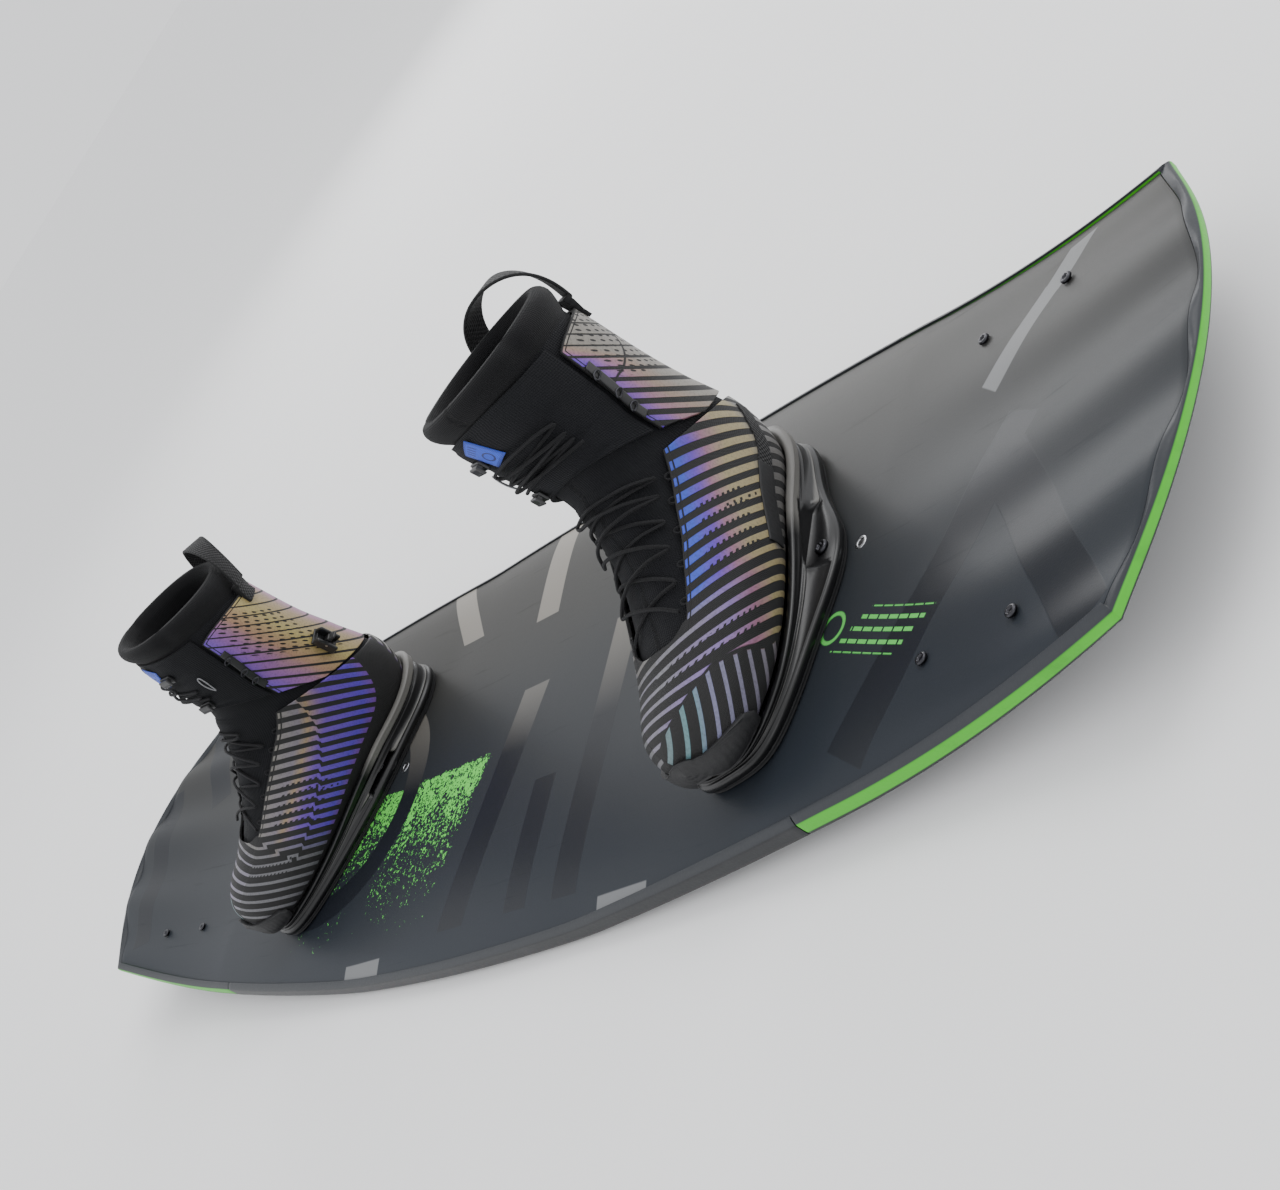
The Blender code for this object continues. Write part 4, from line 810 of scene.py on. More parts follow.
class Boot:
    """One boot's places in the row frame, from points in its own frame."""

    def __init__(self, side):
        self.side = side
        self.pivot, self.stance, self.lean = BOOTS[side]
        self.away = -1 if self.pivot < 0 else 1
        self.flip = self.away < 0
        turn = (Matrix.Rotation(-math.atan(self.away * RAMP_SLOPE), 3, "Y")
                @ Matrix.Rotation(self.away * math.radians(self.stance), 3, "Z"))
        self.turn = np.array(turn)
        pivot = np.array([self.pivot, 0, deck_on_ramp(self.pivot)])
        self.at = pivot - self.turn @ [self.away * PIVOT_X, 0, 0]
        lean = np.radians(-self.lean)
        self.lean_turn = np.array([[1, 0, 0], [0, math.cos(lean), -math.sin(lean)],
                                   [0, math.sin(lean), math.cos(lean)]])

    def row(self, points, upper=0.0):
        """upper is 0 for a piece on the foot, 1 for one on the cuff, or between them for each point."""
        points = np.asarray(points, float)
        leaned = (points - ANKLE) @ self.lean_turn.T + ANKLE
        share = np.asarray(upper, float)[..., None]
        points = points * (1 - share) + leaned * share
        return (points * [self.away, 1, 1]) @ self.turn.T + self.at

    def add(self, obj, body, finish, *nodes):
        """Fixes a visual piece to one of the boot's bodies, in place of CAD nodes if any are named."""
        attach(obj, f"{self.side}_{body}")
        if nodes:
            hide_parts(*[f"{self.side}_{node}" for node in nodes])


def spread(stations, angles):
    """Attributes in millimetres along and round a patch of the boot, for weaves."""
    points = boot_points(stations, angles)
    up = np.linalg.norm(np.diff(points, axis=0), axis=2).mean(1)
    up = np.concatenate([[0], np.cumsum(up)]) / MM
    size = 2 * math.pi * 48 / 360
    return {"mm_up": np.repeat(up[:, None], stations.shape[1], 1), "mm_round": angles * size,
            "stn": stations, "ang": angles}


def stripe_phase(points):
    """Which stripe a point of the foot lies on: whole numbers are the middles of the light stripes."""
    x, y, z = np.moveaxis(points / 0.1, -1, 0)
    x = np.sqrt((x + 0.3) ** 2 + 0.03 ** 2) - 0.3  # mirrored past the inner side
    return (8.26 + 6.03 * x - 8.10 * y - 9.06 * z
            - 0.38 * x * x + 0.515 * y * y + 1.04 * z * z + 3.59 * x * y)


def cuff_phase(points):
    """The same for the cuff, whose stripes lie level on the inner side."""
    x, y, z = np.moveaxis(points / 0.1, -1, 0)
    return 15.8 - 7.4 * np.where(x > 0, x, 0.5 - 0.1 * x) - 9.34 * y - 7.55 * z


BLUE, VIOLET, PINK = (0.030, 0.070, 0.50), (0.11, 0.040, 0.43), (0.27, 0.12, 0.19)
GOLD, GREY = (0.31, 0.255, 0.13), (0.13, 0.125, 0.12)
GROUND = (0.0038, 0.0038, 0.0044)


def printed_shell(p, tint, light, weave_light, relief):
    """Light print over black knit: light is the share of print, relief what sinks below it."""
    a, b = p.attribute("mm_up"), p.attribute("mm_round")
    knit = (a * 4.2).sin() * (b * 4.2).sin()
    fuzz = p.noise(600, 2.0)
    ground = p.mix(GROUND, weave_light, p.ramp01(knit * 0.4 + 0.25 + (fuzz - 0.5)))
    colour = p.mix(ground, p.mix(tint, (0.02, 0.02, 0.02), p.ramp01((fuzz - 0.45) * 1.2)), light)
    height = light + (1 - light) * knit * 0.3 - relief
    return p.finish(colour, 0.70 - light * 0.26 + fuzz * 0.1, height, 0.0005)


def vamp_paint():
    """Black knit with printed light-shifting stripes, turned short bars at the toe and notches."""
    p = Paint("striped_shell_foot", specular=0.5, coat=0.08, coat_roughness=0.25)
    phase, along, inner, kink, bars, edge, rear = (
        p.attribute(key) for key in ("phase", "along", "inner", "kink", "bars", "edge", "rear"))
    off = ((phase + 0.5).fract() - 0.5).abs()
    number = (phase + 0.5).floor()
    thin = phase.above(8.9, 0.8)
    half = 0.255 - thin * 0.095 + thin * along * 0.03
    notch = (along * 17 + number * 0.37).fract().above(0.5, 0.1) * along.within(0.45, 0.25, 0.05)
    notch = notch * phase.within(6.3, 2.6, 0.1) + (along * 21 + number * 0.61).fract().above(0.62, 0.1) \
        * phase.within(12.6, 1.2, 0.1) * along.within(0.30, 0.28, 0.05)
    hole = ((along * 13).fract() - 0.5).abs().below(0.16, 0.05) * phase.within(5.0, 0.5) \
        * off.below(0.10, 0.05) * along.within(0.66, 0.20)
    low_side = ((phase + 0.5).fract() - 0.5).above(0.0, 0.02)
    stripe = off.below(half - notch * low_side * 0.17, 0.035) * (1 - hole)
    stripe = stripe * p.ramp01(1 - inner * rear.below(0.0, 0.3)) * kink.above(0.0, 0.03)
    strip = ((bars + 0.5).fract() - 0.5).abs().below(0.15, 0.03) * kink.below(-0.10, 0.03)
    seam = edge.within(3.4, 0.45, 0.3)
    light = p.ramp01(stripe + strip * (1 - inner)) * (1 - seam) * edge.above(1.2, 0.4)

    shade = along + (p.noise(40, 2.0) - 0.5) * 0.10
    outer_tint = p.blend(shade, [(0.0, BLUE), (0.12, BLUE), (0.27, VIOLET), (0.42, PINK), (0.60, GOLD),
                                 (0.88, GOLD), (1.0, GREY)])
    toe_tint = p.blend(shade, [(0.0, (0.17, 0.165, 0.19)), (0.35, (0.20, 0.13, 0.34)), (0.55, PINK),
                               (0.72, GOLD), (1.0, GOLD)])
    inner_tint = p.blend(shade, [(0.0, (0.16, 0.15, 0.13)), (0.25, (0.15, 0.13, 0.16)),
                                 (0.34, (0.26, 0.18, 0.10)), (0.5, (0.12, 0.05, 0.34)),
                                 (0.85, (0.085, 0.045, 0.42)), (1.0, (0.16, 0.06, 0.30))])
    tint = p.mix(outer_tint, toe_tint, phase.above(9.6, 1.5))
    low_inner = p.mix(inner_tint, (0.115, 0.115, 0.125), phase.above(10.2, 2.5))
    tint = p.mix(tint, low_inner, inner)
    bar_tint = p.blend(p.ramp01(bars / 9), [(0.0, (0.12, 0.15, 0.16)), (0.28, (0.10, 0.22, 0.24)),
                                            (0.40, (0.15, 0.15, 0.26)), (1.0, (0.17, 0.15, 0.17))])
    tint = p.mix(tint, bar_tint, kink.below(-0.1, 0.02))
    return printed_shell(p, tint, light, (0.011, 0.0105, 0.0105), seam * 0.8)


def cuff_paint():
    """Light-shifting stripes that widen down the cuff, with rows of small perforations."""
    p = Paint("striped_shell_cuff", specular=0.5, coat=0.08, coat_roughness=0.25)
    phase, along, inner, edge = (p.attribute(key) for key in ("phase", "along", "inner", "edge"))
    step = along.above(0.60, 0.01) * (along * 11).fract().above(0.5, 0.05) * 0.5 * (1 - inner)
    off = ((phase + step + 0.5).fract() - 0.5).abs()
    low = phase.above(-5.2, 5.0)
    half = 0.435 - low * 0.195 + inner * low * 0.12
    stripe = off.below(half, 0.03)
    cut = edge.within(2.8, 0.35, 0.25)
    line = (along * 5.0 + phase * 0.45).within(-1.6, 0.035, 0.03) * (1 - inner)
    rows = phase * 2.2
    places = along * 17 + rows.floor() * 0.5
    dot = ((rows.fract() - 0.5) * (rows.fract() - 0.5) * 1.2
           + (places.fract() - 0.5) * (places.fract() - 0.5)).sqrt().below(0.23, 0.06)
    field = (phase + along * 3.2).within(-6.9, 2.6, 0.1) * along.within(0.40, 0.27, 0.02) \
        * phase.below(-4.3, 0.1)
    field = p.mix(field, phase.within(-7.6, 2.4, 0.1) * along.within(0.36, 0.24, 0.02), inner)
    dots = dot * field
    light = stripe * (1 - cut) * edge.above(1.0, 0.4) * (1 - dots) * (1 - line)

    shade = along + (p.noise(35, 2.0) - 0.5) * 0.08 + phase.above(-7.2, 3.0) * -0.02
    outer_tint = p.blend(shade + phase.below(-7.0, 1.5) * 0.25,
                         [(0.0, VIOLET), (0.07, (0.22, 0.08, 0.36)), (0.13, (0.30, 0.14, 0.20)),
                          (0.22, (0.28, 0.19, 0.14)), (0.34, (0.22, 0.20, 0.17)),
                          (1.0, (0.15, 0.145, 0.135))])
    inner_tint = p.blend(shade, [(0.0, (0.12, 0.05, 0.42)), (0.12, (0.24, 0.10, 0.30)),
                                 (0.26, (0.34, 0.20, 0.13)), (0.45, (0.36, 0.29, 0.10)),
                                 (0.68, (0.30, 0.22, 0.12)), (0.85, (0.28, 0.10, 0.22)),
                                 (1.0, (0.155, 0.145, 0.14))])
    tint = p.mix(outer_tint, inner_tint, inner)
    return printed_shell(p, tint, light, (0.013, 0.012, 0.011), dots * 1.5 + cut * 0.8)


def chassis_paint():
    """Glossy black with satin grey bands that flow along it."""
    p = Paint("gloss_black_chassis", specular=0.4, coat=0.10, coat_roughness=0.18)
    grey = p.attribute("grey")
    fine, broad = p.noise(500, 2.0), p.noise(14, 3.0)
    band = grey.above(0.5, 0.45)
    colour = p.mix((0.005, 0.005, 0.0056), (0.15, 0.145, 0.135), band * (0.62 + broad * 0.4))
    return p.finish(colour, 0.30 + band * 0.16 + fine * 0.08, fine * 0.5 + band * 0.5, 0.00008)


def tag_paint():
    """A woven blue tag with plain light dashes round it."""
    p = Paint("blue_woven_tag", roughness=0.6, sheen=0.2)
    a, b = p.attribute("tag_x"), p.attribute("tag_y")
    border = a.abs().above(0.86, 0.04).max(b.abs().above(0.80, 0.04))
    dashes = (b * 3.2).fract().within(0.5, 0.16, 0.05) * a.within(-0.45, 0.28, 0.03) \
        * b.abs().below(0.62, 0.02)
    disc = ((a - 0.45) * (a - 0.45) * 2.4 + b * b).sqrt().within(0.42, 0.07, 0.04)
    weave = (a * 60).sin() * (b * 34).sin()
    colour = p.mix((0.015, 0.075, 0.62), (0.004, 0.012, 0.10), p.ramp01(dashes + disc + border * 0.4))
    return p.finish(colour, 0.6, weave, 0.0002)


MATS.update(vamp=vamp_paint(), cuff=cuff_paint(), chassis=chassis_paint(), tag=tag_paint())


# ---------------------------------------------------------------- boot pieces

def make_vamp(b):
    """The striped shell of the foot, closed over the toe and open along the throat."""
    toe_rows, free_rows, side_cols, front_cols = 46, 74, 150, 26
    shares = np.linspace(-1, 1, side_cols)
    front = np.linspace(0, 1, front_cols + 1)[1:]

    def angles_at(edge):
        return np.concatenate([shares * edge, edge + (360 - 2 * edge) * front])

    angles = angles_at(152.0)
    across = np.abs((angles + 360) % 360 - 180) / 28
    rows_a = [angles] * (toe_rows + 1)
    toe_end = THROAT_TOE - 0.06 + 0.30 * np.minimum(across, 1) ** 3
    rows_s = [toe_end * n / toe_rows for n in range(toe_rows + 1)]
    start = rows_s[-1]
    last = ankle_cut(angles_at(114.0), SHELL / 2, upper=False)
    for n in range(1, free_rows + 1):
        share = n / free_rows
        stations = start + (last - start) * share
        angles = angles_at(throat_edge(stations[0]))
        if n == free_rows:
            stations = ankle_cut(angles, SHELL / 2, upper=False)
        rows_s.append(stations)
        rows_a.append(angles)
    stations, angles = np.array(rows_s), np.array(rows_a)
    keep = np.ones((len(stations) - 1, angles.shape[1] - 1), bool)
    keep[toe_rows:, side_cols - 1:] = False

    # signed is positive outside; along runs from the throat, at 0, to the heel strap, at 1
    points = boot_points(stations, angles)
    signed = np.where(angles > 180, angles - 360, angles)
    size = np.abs(signed)
    throat = throat_edge(stations)
    strap = np.interp(stations, (3.5, 5.3, 6.6, 8.2), (46, 72, 74, 50))
    front_angle = np.where(stations > THROAT_TOE, throat, 160.0 + 20 * (3.3 - stations))
    along = np.clip((front_angle - signed) / (front_angle - strap), 0, 1.05)
    inner = smoothstep(-signed, 20, 24)
    inner = np.where((stations < 3.0) & (signed <= -150), 0.0, inner)
    rear_line = np.interp(stations, (3.0, 5.45, 8.24), (62, 70, 55))
    inner_along = np.clip((throat - size) / (throat - rear_line), 0, 1)
    middle_along = np.where(size < 40, 1.0, 0.03)
    along = np.where(inner > 0.5, inner_along, np.where(signed < 0, middle_along, along))
    phase = stripe_phase(points)
    split = np.interp(stations, (4.3, 7.7), (95, 99))
    phase = np.where((inner > 0.5) & (size > split) & (stations > 3.4), phase + 0.45, phase)
    line = np.interp(np.where(signed < 0, signed + 360, signed), (50, 80, 126, 160, 185, 215, 300),
                     (4.05, 3.55, 2.80, 1.75, 1.15, 0.75, 0.5))
    values = spread(stations, angles)
    values.update(phase=phase, along=along, inner=inner, kink=stations - line,
                  bars=12.53 + (points / 0.1) @ np.array([5.20, 4.28, -8.07]),
                  edge=np.where(stations > 3.35, throat - size, 20.0),
                  rear=np.where(inner > 0.5, size - rear_line, 10.0))
    obj = grid_solid(b.side + "_shell_foot", b.row(points), b.row(boot_points(stations, angles, SHELL)),
                     MATS["vamp"], values, keep, flip=b.flip, bevel=0.5 * MM)
    b.add(obj, "boot", "striped_shell", "vamp")


def ribbon_on_boot(name, b, path, width, low, high, mat, upper=0.0):
    """A strap laid on the boot along (station, angle) points, between two heights above it."""
    cols = 9
    path = np.array(path, float)
    t = np.linspace(0, len(path) - 1, 60)
    line = np.column_stack([np.interp(t, range(len(path)), path[:, k]) for k in (0, 1)])
    for _ in range(6):
        line[1:-1] = (line[:-2] + 2 * line[1:-1] + line[2:]) / 4
    here = boot_points(line[:, 0], line[:, 1])
    ahead = np.gradient(here, axis=0)
    per_s = boot_points(line[:, 0] + 0.05, line[:, 1]) - here
    per_a = boot_points(line[:, 0], line[:, 1] + 1) - here
    aside = np.cross(ahead, np.cross(per_a, per_s))
    aside /= np.linalg.norm(aside, axis=1)[:, None]
    grids_s, grids_a = [], []
    for c in np.linspace(-0.5, 0.5, cols):
        moves = np.array([np.linalg.lstsq(np.stack([s, a], 1), w, rcond=None)[0]
                          for s, a, w in zip(per_s, per_a, aside * (c * width))])
        grids_s.append(line[:, 0] + moves[:, 0] * 0.05)
        grids_a.append(line[:, 1] + moves[:, 1])
    stations, angles = np.array(grids_s).T, np.array(grids_a).T
    length = np.concatenate([[0], np.cumsum(np.linalg.norm(np.diff(here, axis=0), axis=1))]) / MM
    flat = np.linspace(-0.5, 0.5, cols)[None]
    values = {"mm_up": length[:, None], "mm_round": flat * width / MM,
              "tag_x": np.linspace(-1, 1, len(length))[:, None], "tag_y": np.linspace(-1, 1, cols)[None]}
    return grid_solid(name, b.row(boot_points(stations, angles, -high), upper),
                      b.row(boot_points(stations, angles, -low), upper), mat, values, flip=b.flip,
                      bevel=0.3 * float(np.min(high - low)))


def raised_panels(like, stations, power, places):
    """1 on the padded panels across the front, 0 in the channels between them."""
    panels = np.zeros_like(like)
    for middle, half in places:
        panels = np.maximum(panels, np.clip(1 - np.abs((stations - middle) / half) ** power, 0, 1))
    return panels


def make_liner(b):
    """The soft liner from the toe to the rolled collar, in one with its padded front panels."""
    low = np.linspace(0, 6.3, 60)
    angles = np.linspace(-180, 180, 145)
    rows = [np.full(angles.shape, s) for s in low]
    shares = np.linspace(0, 1, 90)[1:]
    top = CUFF_TOP + 0.15
    rows += [np.full(angles.shape, 6.3 + (top - 6.3) * s) for s in shares]
    rim = np.array([11.8, 11.95, 12.1, 12.25, 12.4, 12.55, 12.68, 12.78, 12.85, 12.88])
    rows += [np.full(angles.shape, s) for s in rim]
    stations = np.array(rows)
    angles = np.tile(angles, (len(rows), 1))
    level = stations[:, 0]
    outer = np.interp(level, (0, top, 11.8, 12.0, 12.2, 12.4, 12.6, 12.75, 12.85, 12.9),
                      np.array((4.8, 4.8, 3.2, 1.0, -0.5, -1.2, -0.9, 0.4, 2.4, 4.5)) * MM)
    inner = np.interp(level, (0, top, 12.0, 12.4, 12.7, 12.85, 12.9),
                      np.array((9.8, 9.9, 11, 11.5, 9.6, 7.5, 5.6)) * MM)
    outer, inner = outer[:, None] * np.ones_like(angles), inner[:, None] * np.ones_like(angles)
    size = np.where(angles < 0, angles + 360, angles) - 180
    throat = smoothstep(-np.abs(size), -(178 - throat_edge(stations)), -6)
    throat = throat * (stations > 3.4) * (stations < 7.6)
    panels = raised_panels(outer, stations, 3.5, ((4.1, 0.34), (4.95, 0.42), (5.95, 0.48), (7.0, 0.5)))
    outer = outer - throat * (0.9 + 1.5 * panels) * MM
    crease = 0.8 * MM * np.sin(np.radians(angles) * 3 + stations * 2.2) * smoothstep(stations, 11.7, 12.4)
    fold = np.exp(-((np.abs(angles) - 118) / 7) ** 2) * smoothstep(stations, 11.7, 12.2)
    outer = outer + crease * 0.6 + fold * 2.2 * MM
    inner = inner - fold * 0.8 * MM
    share = smoothstep(ankle_side(boot_points(stations, angles, outer), False), -12 * MM, 12 * MM)
    values = spread(stations, angles)
    obj = grid_solid(b.side + "_liner", b.row(boot_points(stations, angles, outer), share),
                     b.row(boot_points(stations, angles, inner), share), MATS["knit"], values, flip=b.flip)
    obj.data.materials.append(MATS["neoprene"])
    level = obj.data.attributes["stn"].data
    for face in obj.data.polygons:
        face.material_index = int(min(level[v].value for v in face.vertices) > 11.62)
    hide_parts(b.side + "_inner_boot", b.side + "_collar")
    normal = np.array([0, -ANKLE_PLANE_SLOPE, 1]) / math.hypot(1, ANKLE_PLANE_SLOPE)
    ends = [b.row(ANKLE + normal * shift) for shift in (-12 * MM, 12 * MM)]
    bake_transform(obj)


def make_tongue(b):
    """The padded tongue between the cuff's edges, with raised panels and a blue tag."""
    cols, rows = 61, 70
    shares = np.linspace(0, 1, cols)
    angles = np.tile(CUFF_EDGE + 3.5 + (360 - 2 * CUFF_EDGE - 7) * shares, (rows, 1))
    start = ankle_cut(angles[0], SHELL / 2, upper=True) + 0.03
    peak = CUFF_TOP + 0.05 + 0.25 * np.sin(math.pi * shares) ** 2
    stations = start + (peak - start) * np.linspace(0, 1, rows)[:, None]
    across = np.abs(shares - 0.5) * 2
    panels = raised_panels(stations, stations, 4, ((8.3, 0.35), (9.15, 0.42), (10.05, 0.42), (11.0, 0.46)))
    pad = np.clip(1 - (across / 0.72) ** 6, 0, 1)[None, :]
    outer = 1.3 * MM - 1.6 * MM * panels * pad
    obj = grid_solid(b.side + "_tongue_pad", b.row(boot_points(stations, angles, outer), 1),
                     b.row(boot_points(stations, angles, 4.2 * MM), 1), MATS["knit"],
                     spread(stations, angles), flip=b.flip, bevel=0.8 * MM)
    b.add(obj, "upper", "black_mesh", "tongue")
    tag = ribbon_on_boot(b.side + "_tag", b, [(11.42, 196), (10.52, 187)], 16 * MM, 0.5 * MM, 1.2 * MM,
                         MATS["tag"], 1)
    b.add(tag, "upper", "black_webbing")


def make_cuff(b):
    """The striped shell round the ankle, open in front."""
    cols, rows = 181, 96
    angles = np.tile(np.linspace(-CUFF_EDGE, CUFF_EDGE, cols), (rows, 1))
    top = CUFF_TOP - 0.35 * np.abs(angles[0] / CUFF_EDGE) ** 6
    start = ankle_cut(angles[0], SHELL / 2, upper=True)
    stations = start + (top - start) * np.linspace(0, 1, rows)[:, None]
    points = boot_points(stations, angles)
    size = np.abs(angles)
    values = spread(stations, angles)
    values.update(phase=cuff_phase(points), along=np.clip((CUFF_EDGE - size) / CUFF_EDGE, 0, 1),
                  inner=smoothstep(-angles, -16, 16),
                  edge=np.minimum(CUFF_EDGE - size, (top - stations) * 26))
    obj = grid_solid(b.side + "_shell_cuff", b.row(points, 1), b.row(boot_points(stations, angles, SHELL), 1),
                     MATS["cuff"], values, flip=b.flip, bevel=0.5 * MM)
    b.add(obj, "upper", "striped_shell", "cuff")


def make_toe_cap(b):
    """The rubber bumper and sole under the toe, its upper edge rising beside the little toe."""
    rows, cols = 40, 220
    angles = np.tile(np.linspace(-180, 180, cols), (rows, 1))
    size = np.abs(angles[0])
    top = np.interp(size, (0, 24, 34, 60, 80, 88, 93, 100, 115, 150, 180),
                    (0.55, 0.62, 1.0, 2.25, 2.25, 2.1, 1.35, 0.74, 0.50, 0.42, 0.40))
    climb = np.linspace(0, 1, rows)[:, None]
    stations = top * (climb ** 0.8)
    lip = 0.6 * MM * np.exp(-((climb - 0.94) / 0.05) ** 2)
    lines = 0.35 * MM * np.cos(stations * 16) ** 2
    thick = OVER + 1.7 * MM + lip + lines * 0.6
    points = boot_points(stations, angles, -thick)
    points[..., 2] = np.maximum(points[..., 2], FLANGE_BOTTOM + 0.8 * MM)
    obj = grid_solid(b.side + "_toe_bumper", b.row(points), b.row(boot_points(stations, angles, -0.4 * MM)),
                     MATS["rubber"], spread(stations, angles), flip=b.flip, bevel=0.5 * MM)
    b.add(obj, "boot", "black_rubber", "toe_cap")


def rim_points():
    """(station, angle) points round the chassis rim, their places and which way is out."""
    count = 240
    rim = np.array(RIM + [(s, -a) for s, a in reversed(RIM)], float)
    t = np.linspace(0, len(rim), count, endpoint=False)
    closed = np.vstack([rim[-1:], rim, rim[:2]])
    i = t.astype(int)
    f = (t - i)[:, None]
    p0, p1, p2, p3 = (closed[i + n] for n in range(4))
    rim = 0.5 * (2 * p1 + (p2 - p0) * f + (2 * p0 - 5 * p1 + 4 * p2 - p3) * f ** 2
                 + (3 * p1 - p0 - 3 * p2 + p3) * f ** 3)
    points = boot_points(rim[:, 0], rim[:, 1], -OVER)
    tangent = np.roll(points, -1, 0) - np.roll(points, 1, 0)
    normal = np.stack([tangent[:, 1], -tangent[:, 0]], -1)
    normal /= np.linalg.norm(normal, axis=1)[:, None]
    if normal[count // 4, 0] < 0:
        normal = -normal
    return rim, points, normal


def flange_reach(points):
    """How far the flange stands out: most beside the outer screw."""
    beside = np.exp(-((points[:, 1] + 12 * MM) / (55 * MM)) ** 2)
    reach = 12 * MM + 17 * MM * smoothstep(points[:, 0], -8 * MM, 8 * MM)
    return 7 * MM + (reach - 7 * MM) * beside


def make_chassis(b):
    """The base under the boot: a flange, a ridged wall with a window at each screw, and the pad below."""
    rim, points, normal = rim_points()
    reach = flange_reach(points)
    x, y, tops = points.T

    def moved(out, z):
        plan = points[:, :2] + normal * np.asarray(out)[..., None]
        return np.column_stack([plan, np.broadcast_to(z, len(points))])

    # windows: the wall steps in to wall_x beside the outer screw, and less beside the inner one
    shift = MOUNT_RADIUS * math.sin(math.radians(15))
    open_out = smoothstep(30 * MM - np.abs(y - 6 * MM), -3 * MM, 5 * MM) * (x > 0)
    open_in = smoothstep(20 * MM - np.abs(y - shift), -3 * MM, 4 * MM) * (x < 0)
    window = np.maximum(open_out, open_in)
    wall_x = np.where(x > 0, 46.5 * MM, -28 * MM)
    roof = np.where(x > 0, 17 * MM + 10 * MM * np.clip((y + 30 * MM) / (72 * MM), 0, 1), 15.6 * MM)

    loops = [moved(reach - inset * MM, z)
             for inset, z in ((1.2, FLANGE_BOTTOM), (0, FLANGE_BOTTOM + 0.6 * MM), (0, FLANGE_TOP - 1.6 * MM),
                              (0.6, FLANGE_TOP - 0.4 * MM), (2, FLANGE_TOP))]
    none = np.zeros(len(points))
    grey = [none] * len(loops)
    heel = smoothstep(y, -10 * MM, 70 * MM)
    flow = np.exp(-((y - 40 * MM) / (46 * MM)) ** 2)
    lens_middle = 0.50 - 0.30 * np.clip((y + 70 * MM) / (130 * MM), 0, 1)
    steps = 34
    for n in range(steps + 1):
        w = n / steps
        out = (reach - 2 * MM) * (1 - w) ** 1.7 * (1 - 0.45 * w) + 4.5 * MM * w
        rise = np.minimum(FLANGE_TOP + 0.2 * MM + (tops - 1.5 * MM - FLANGE_TOP) * w ** 1.35,
                          tops - 1.5 * MM * w)
        # ridges: a rim band, a lens-shaped facet, two thin lines running to the toe and a groove
        band = smoothstep(w, 0.70, 0.80)
        lens = np.exp(-((w - lens_middle) / 0.085) ** 2) * np.exp(-((y - 18 * MM) / (44 * MM)) ** 4)
        thin = (np.exp(-((w - 0.62 + 0.1 * np.clip((-y) / 0.1, 0, 1)) / 0.035) ** 2)
                * smoothstep(-y, 0, 50 * MM))
        lower = np.exp(-((w - 0.16) / 0.05) ** 2) * smoothstep(y, -60 * MM, 20 * MM)
        groove = np.exp(-((w - 0.66) / 0.05) ** 2) * (0.4 + heel)
        out = out + (1.5 * band * (0.5 + heel) + 2.0 * lens + 1.1 * thin + 1.2 * lower - 1.6 * groove) * MM
        inside = window * (rise < roof) * smoothstep(w, 0.0, 0.06)
        loop = moved(out, rise)
        target = loop[:, 0] * (1 - inside) + wall_x * inside
        loop[:, 0] = np.where(np.abs(loop[:, 0]) > np.abs(wall_x), target, loop[:, 0])
        loops.append(loop)
        shine = (band * (0.9 * heel + 0.5 * flow) * smoothstep(y, -75 * MM, 0) + lens * 0.8
                 + 0.75 * lower * heel + 0.55 * thin)
        grey.append(np.where(inside > 0.4, 0, np.clip(shine, 0, 1)))
    loops += [moved(np.full(len(points), 3.4 * MM), tops - 0.5 * MM),
              moved(np.full(len(points), 2.0 * MM), tops), points - [0, 0, 0.2 * MM]]
    grey += [grey[-1]] * 3

    # the floor inside the rim, and the underside drawn in to a line along the middle
    centre = np.clip(rim[:, 0], 2.6, 6.3)
    for share in (0.3, 0.6, 1.0):
        loops.append(boot_points(rim[:, 0] + (centre - rim[:, 0]) * share, rim[:, 1] * (1 - share), -OVER))
        grey.append(none)
    spine = np.column_stack([np.full(len(points), 3 * MM), np.clip(y, -120 * MM, 70 * MM),
                             np.full(len(points), FLANGE_BOTTOM)])
    loops = [spine, (spine + loops[0]) / 2] + loops
    grey = [none] * 2 + grey
    obj = ring_solid(b.side + "_boot_chassis", b.row(np.array(loops)), MATS["chassis"],
                     {"grey": np.array(grey)}, caps=False, flip=b.flip)
    b.add(cleaned(obj, 5e-5), "boot", "gloss_black", "chassis")

    pad = moved(reach - 2 * MM, 0.0)[:, :2]
    rings = [np.column_stack([pad - normal * inset * MM, np.full(len(pad), z * MM)])
             for inset, z in ((1.2, 0.3), (0.2, 0.5), (0, 1.2), (0.5, 1.8), (0, 2.4), (0, 3.4), (0.3, 4.0),
                              (1.2, 4.2))]
    obj = ring_solid(b.side + "_foot_pad", b.row(np.array(rings)), MATS["rubber"], flip=b.flip)
    b.add(obj, "boot", "black_rubber", "base_pad")


def make_footbed(b):
    """The removable insole, with fine ridges."""
    stations = np.tile(np.linspace(1.6, 6.3, 60)[:, None], (1, 31))
    angles = np.tile(np.linspace(-67.5, 67.5, 31), (60, 1))
    ridge = 0.4 * MM * np.cos(stations * 14) * np.cos(np.radians(angles) * 6)
    low = LINER_IN + OVER
    obj = grid_solid(b.side + "_insole", b.row(boot_points(stations, angles, low + 3 * MM + ridge)),
                     b.row(boot_points(stations, angles, low)), MATS["foam"], spread(stations, angles),
                     flip=b.flip, bevel=0.8 * MM)
    b.add(obj, "boot", "grey_foam", "footbed")


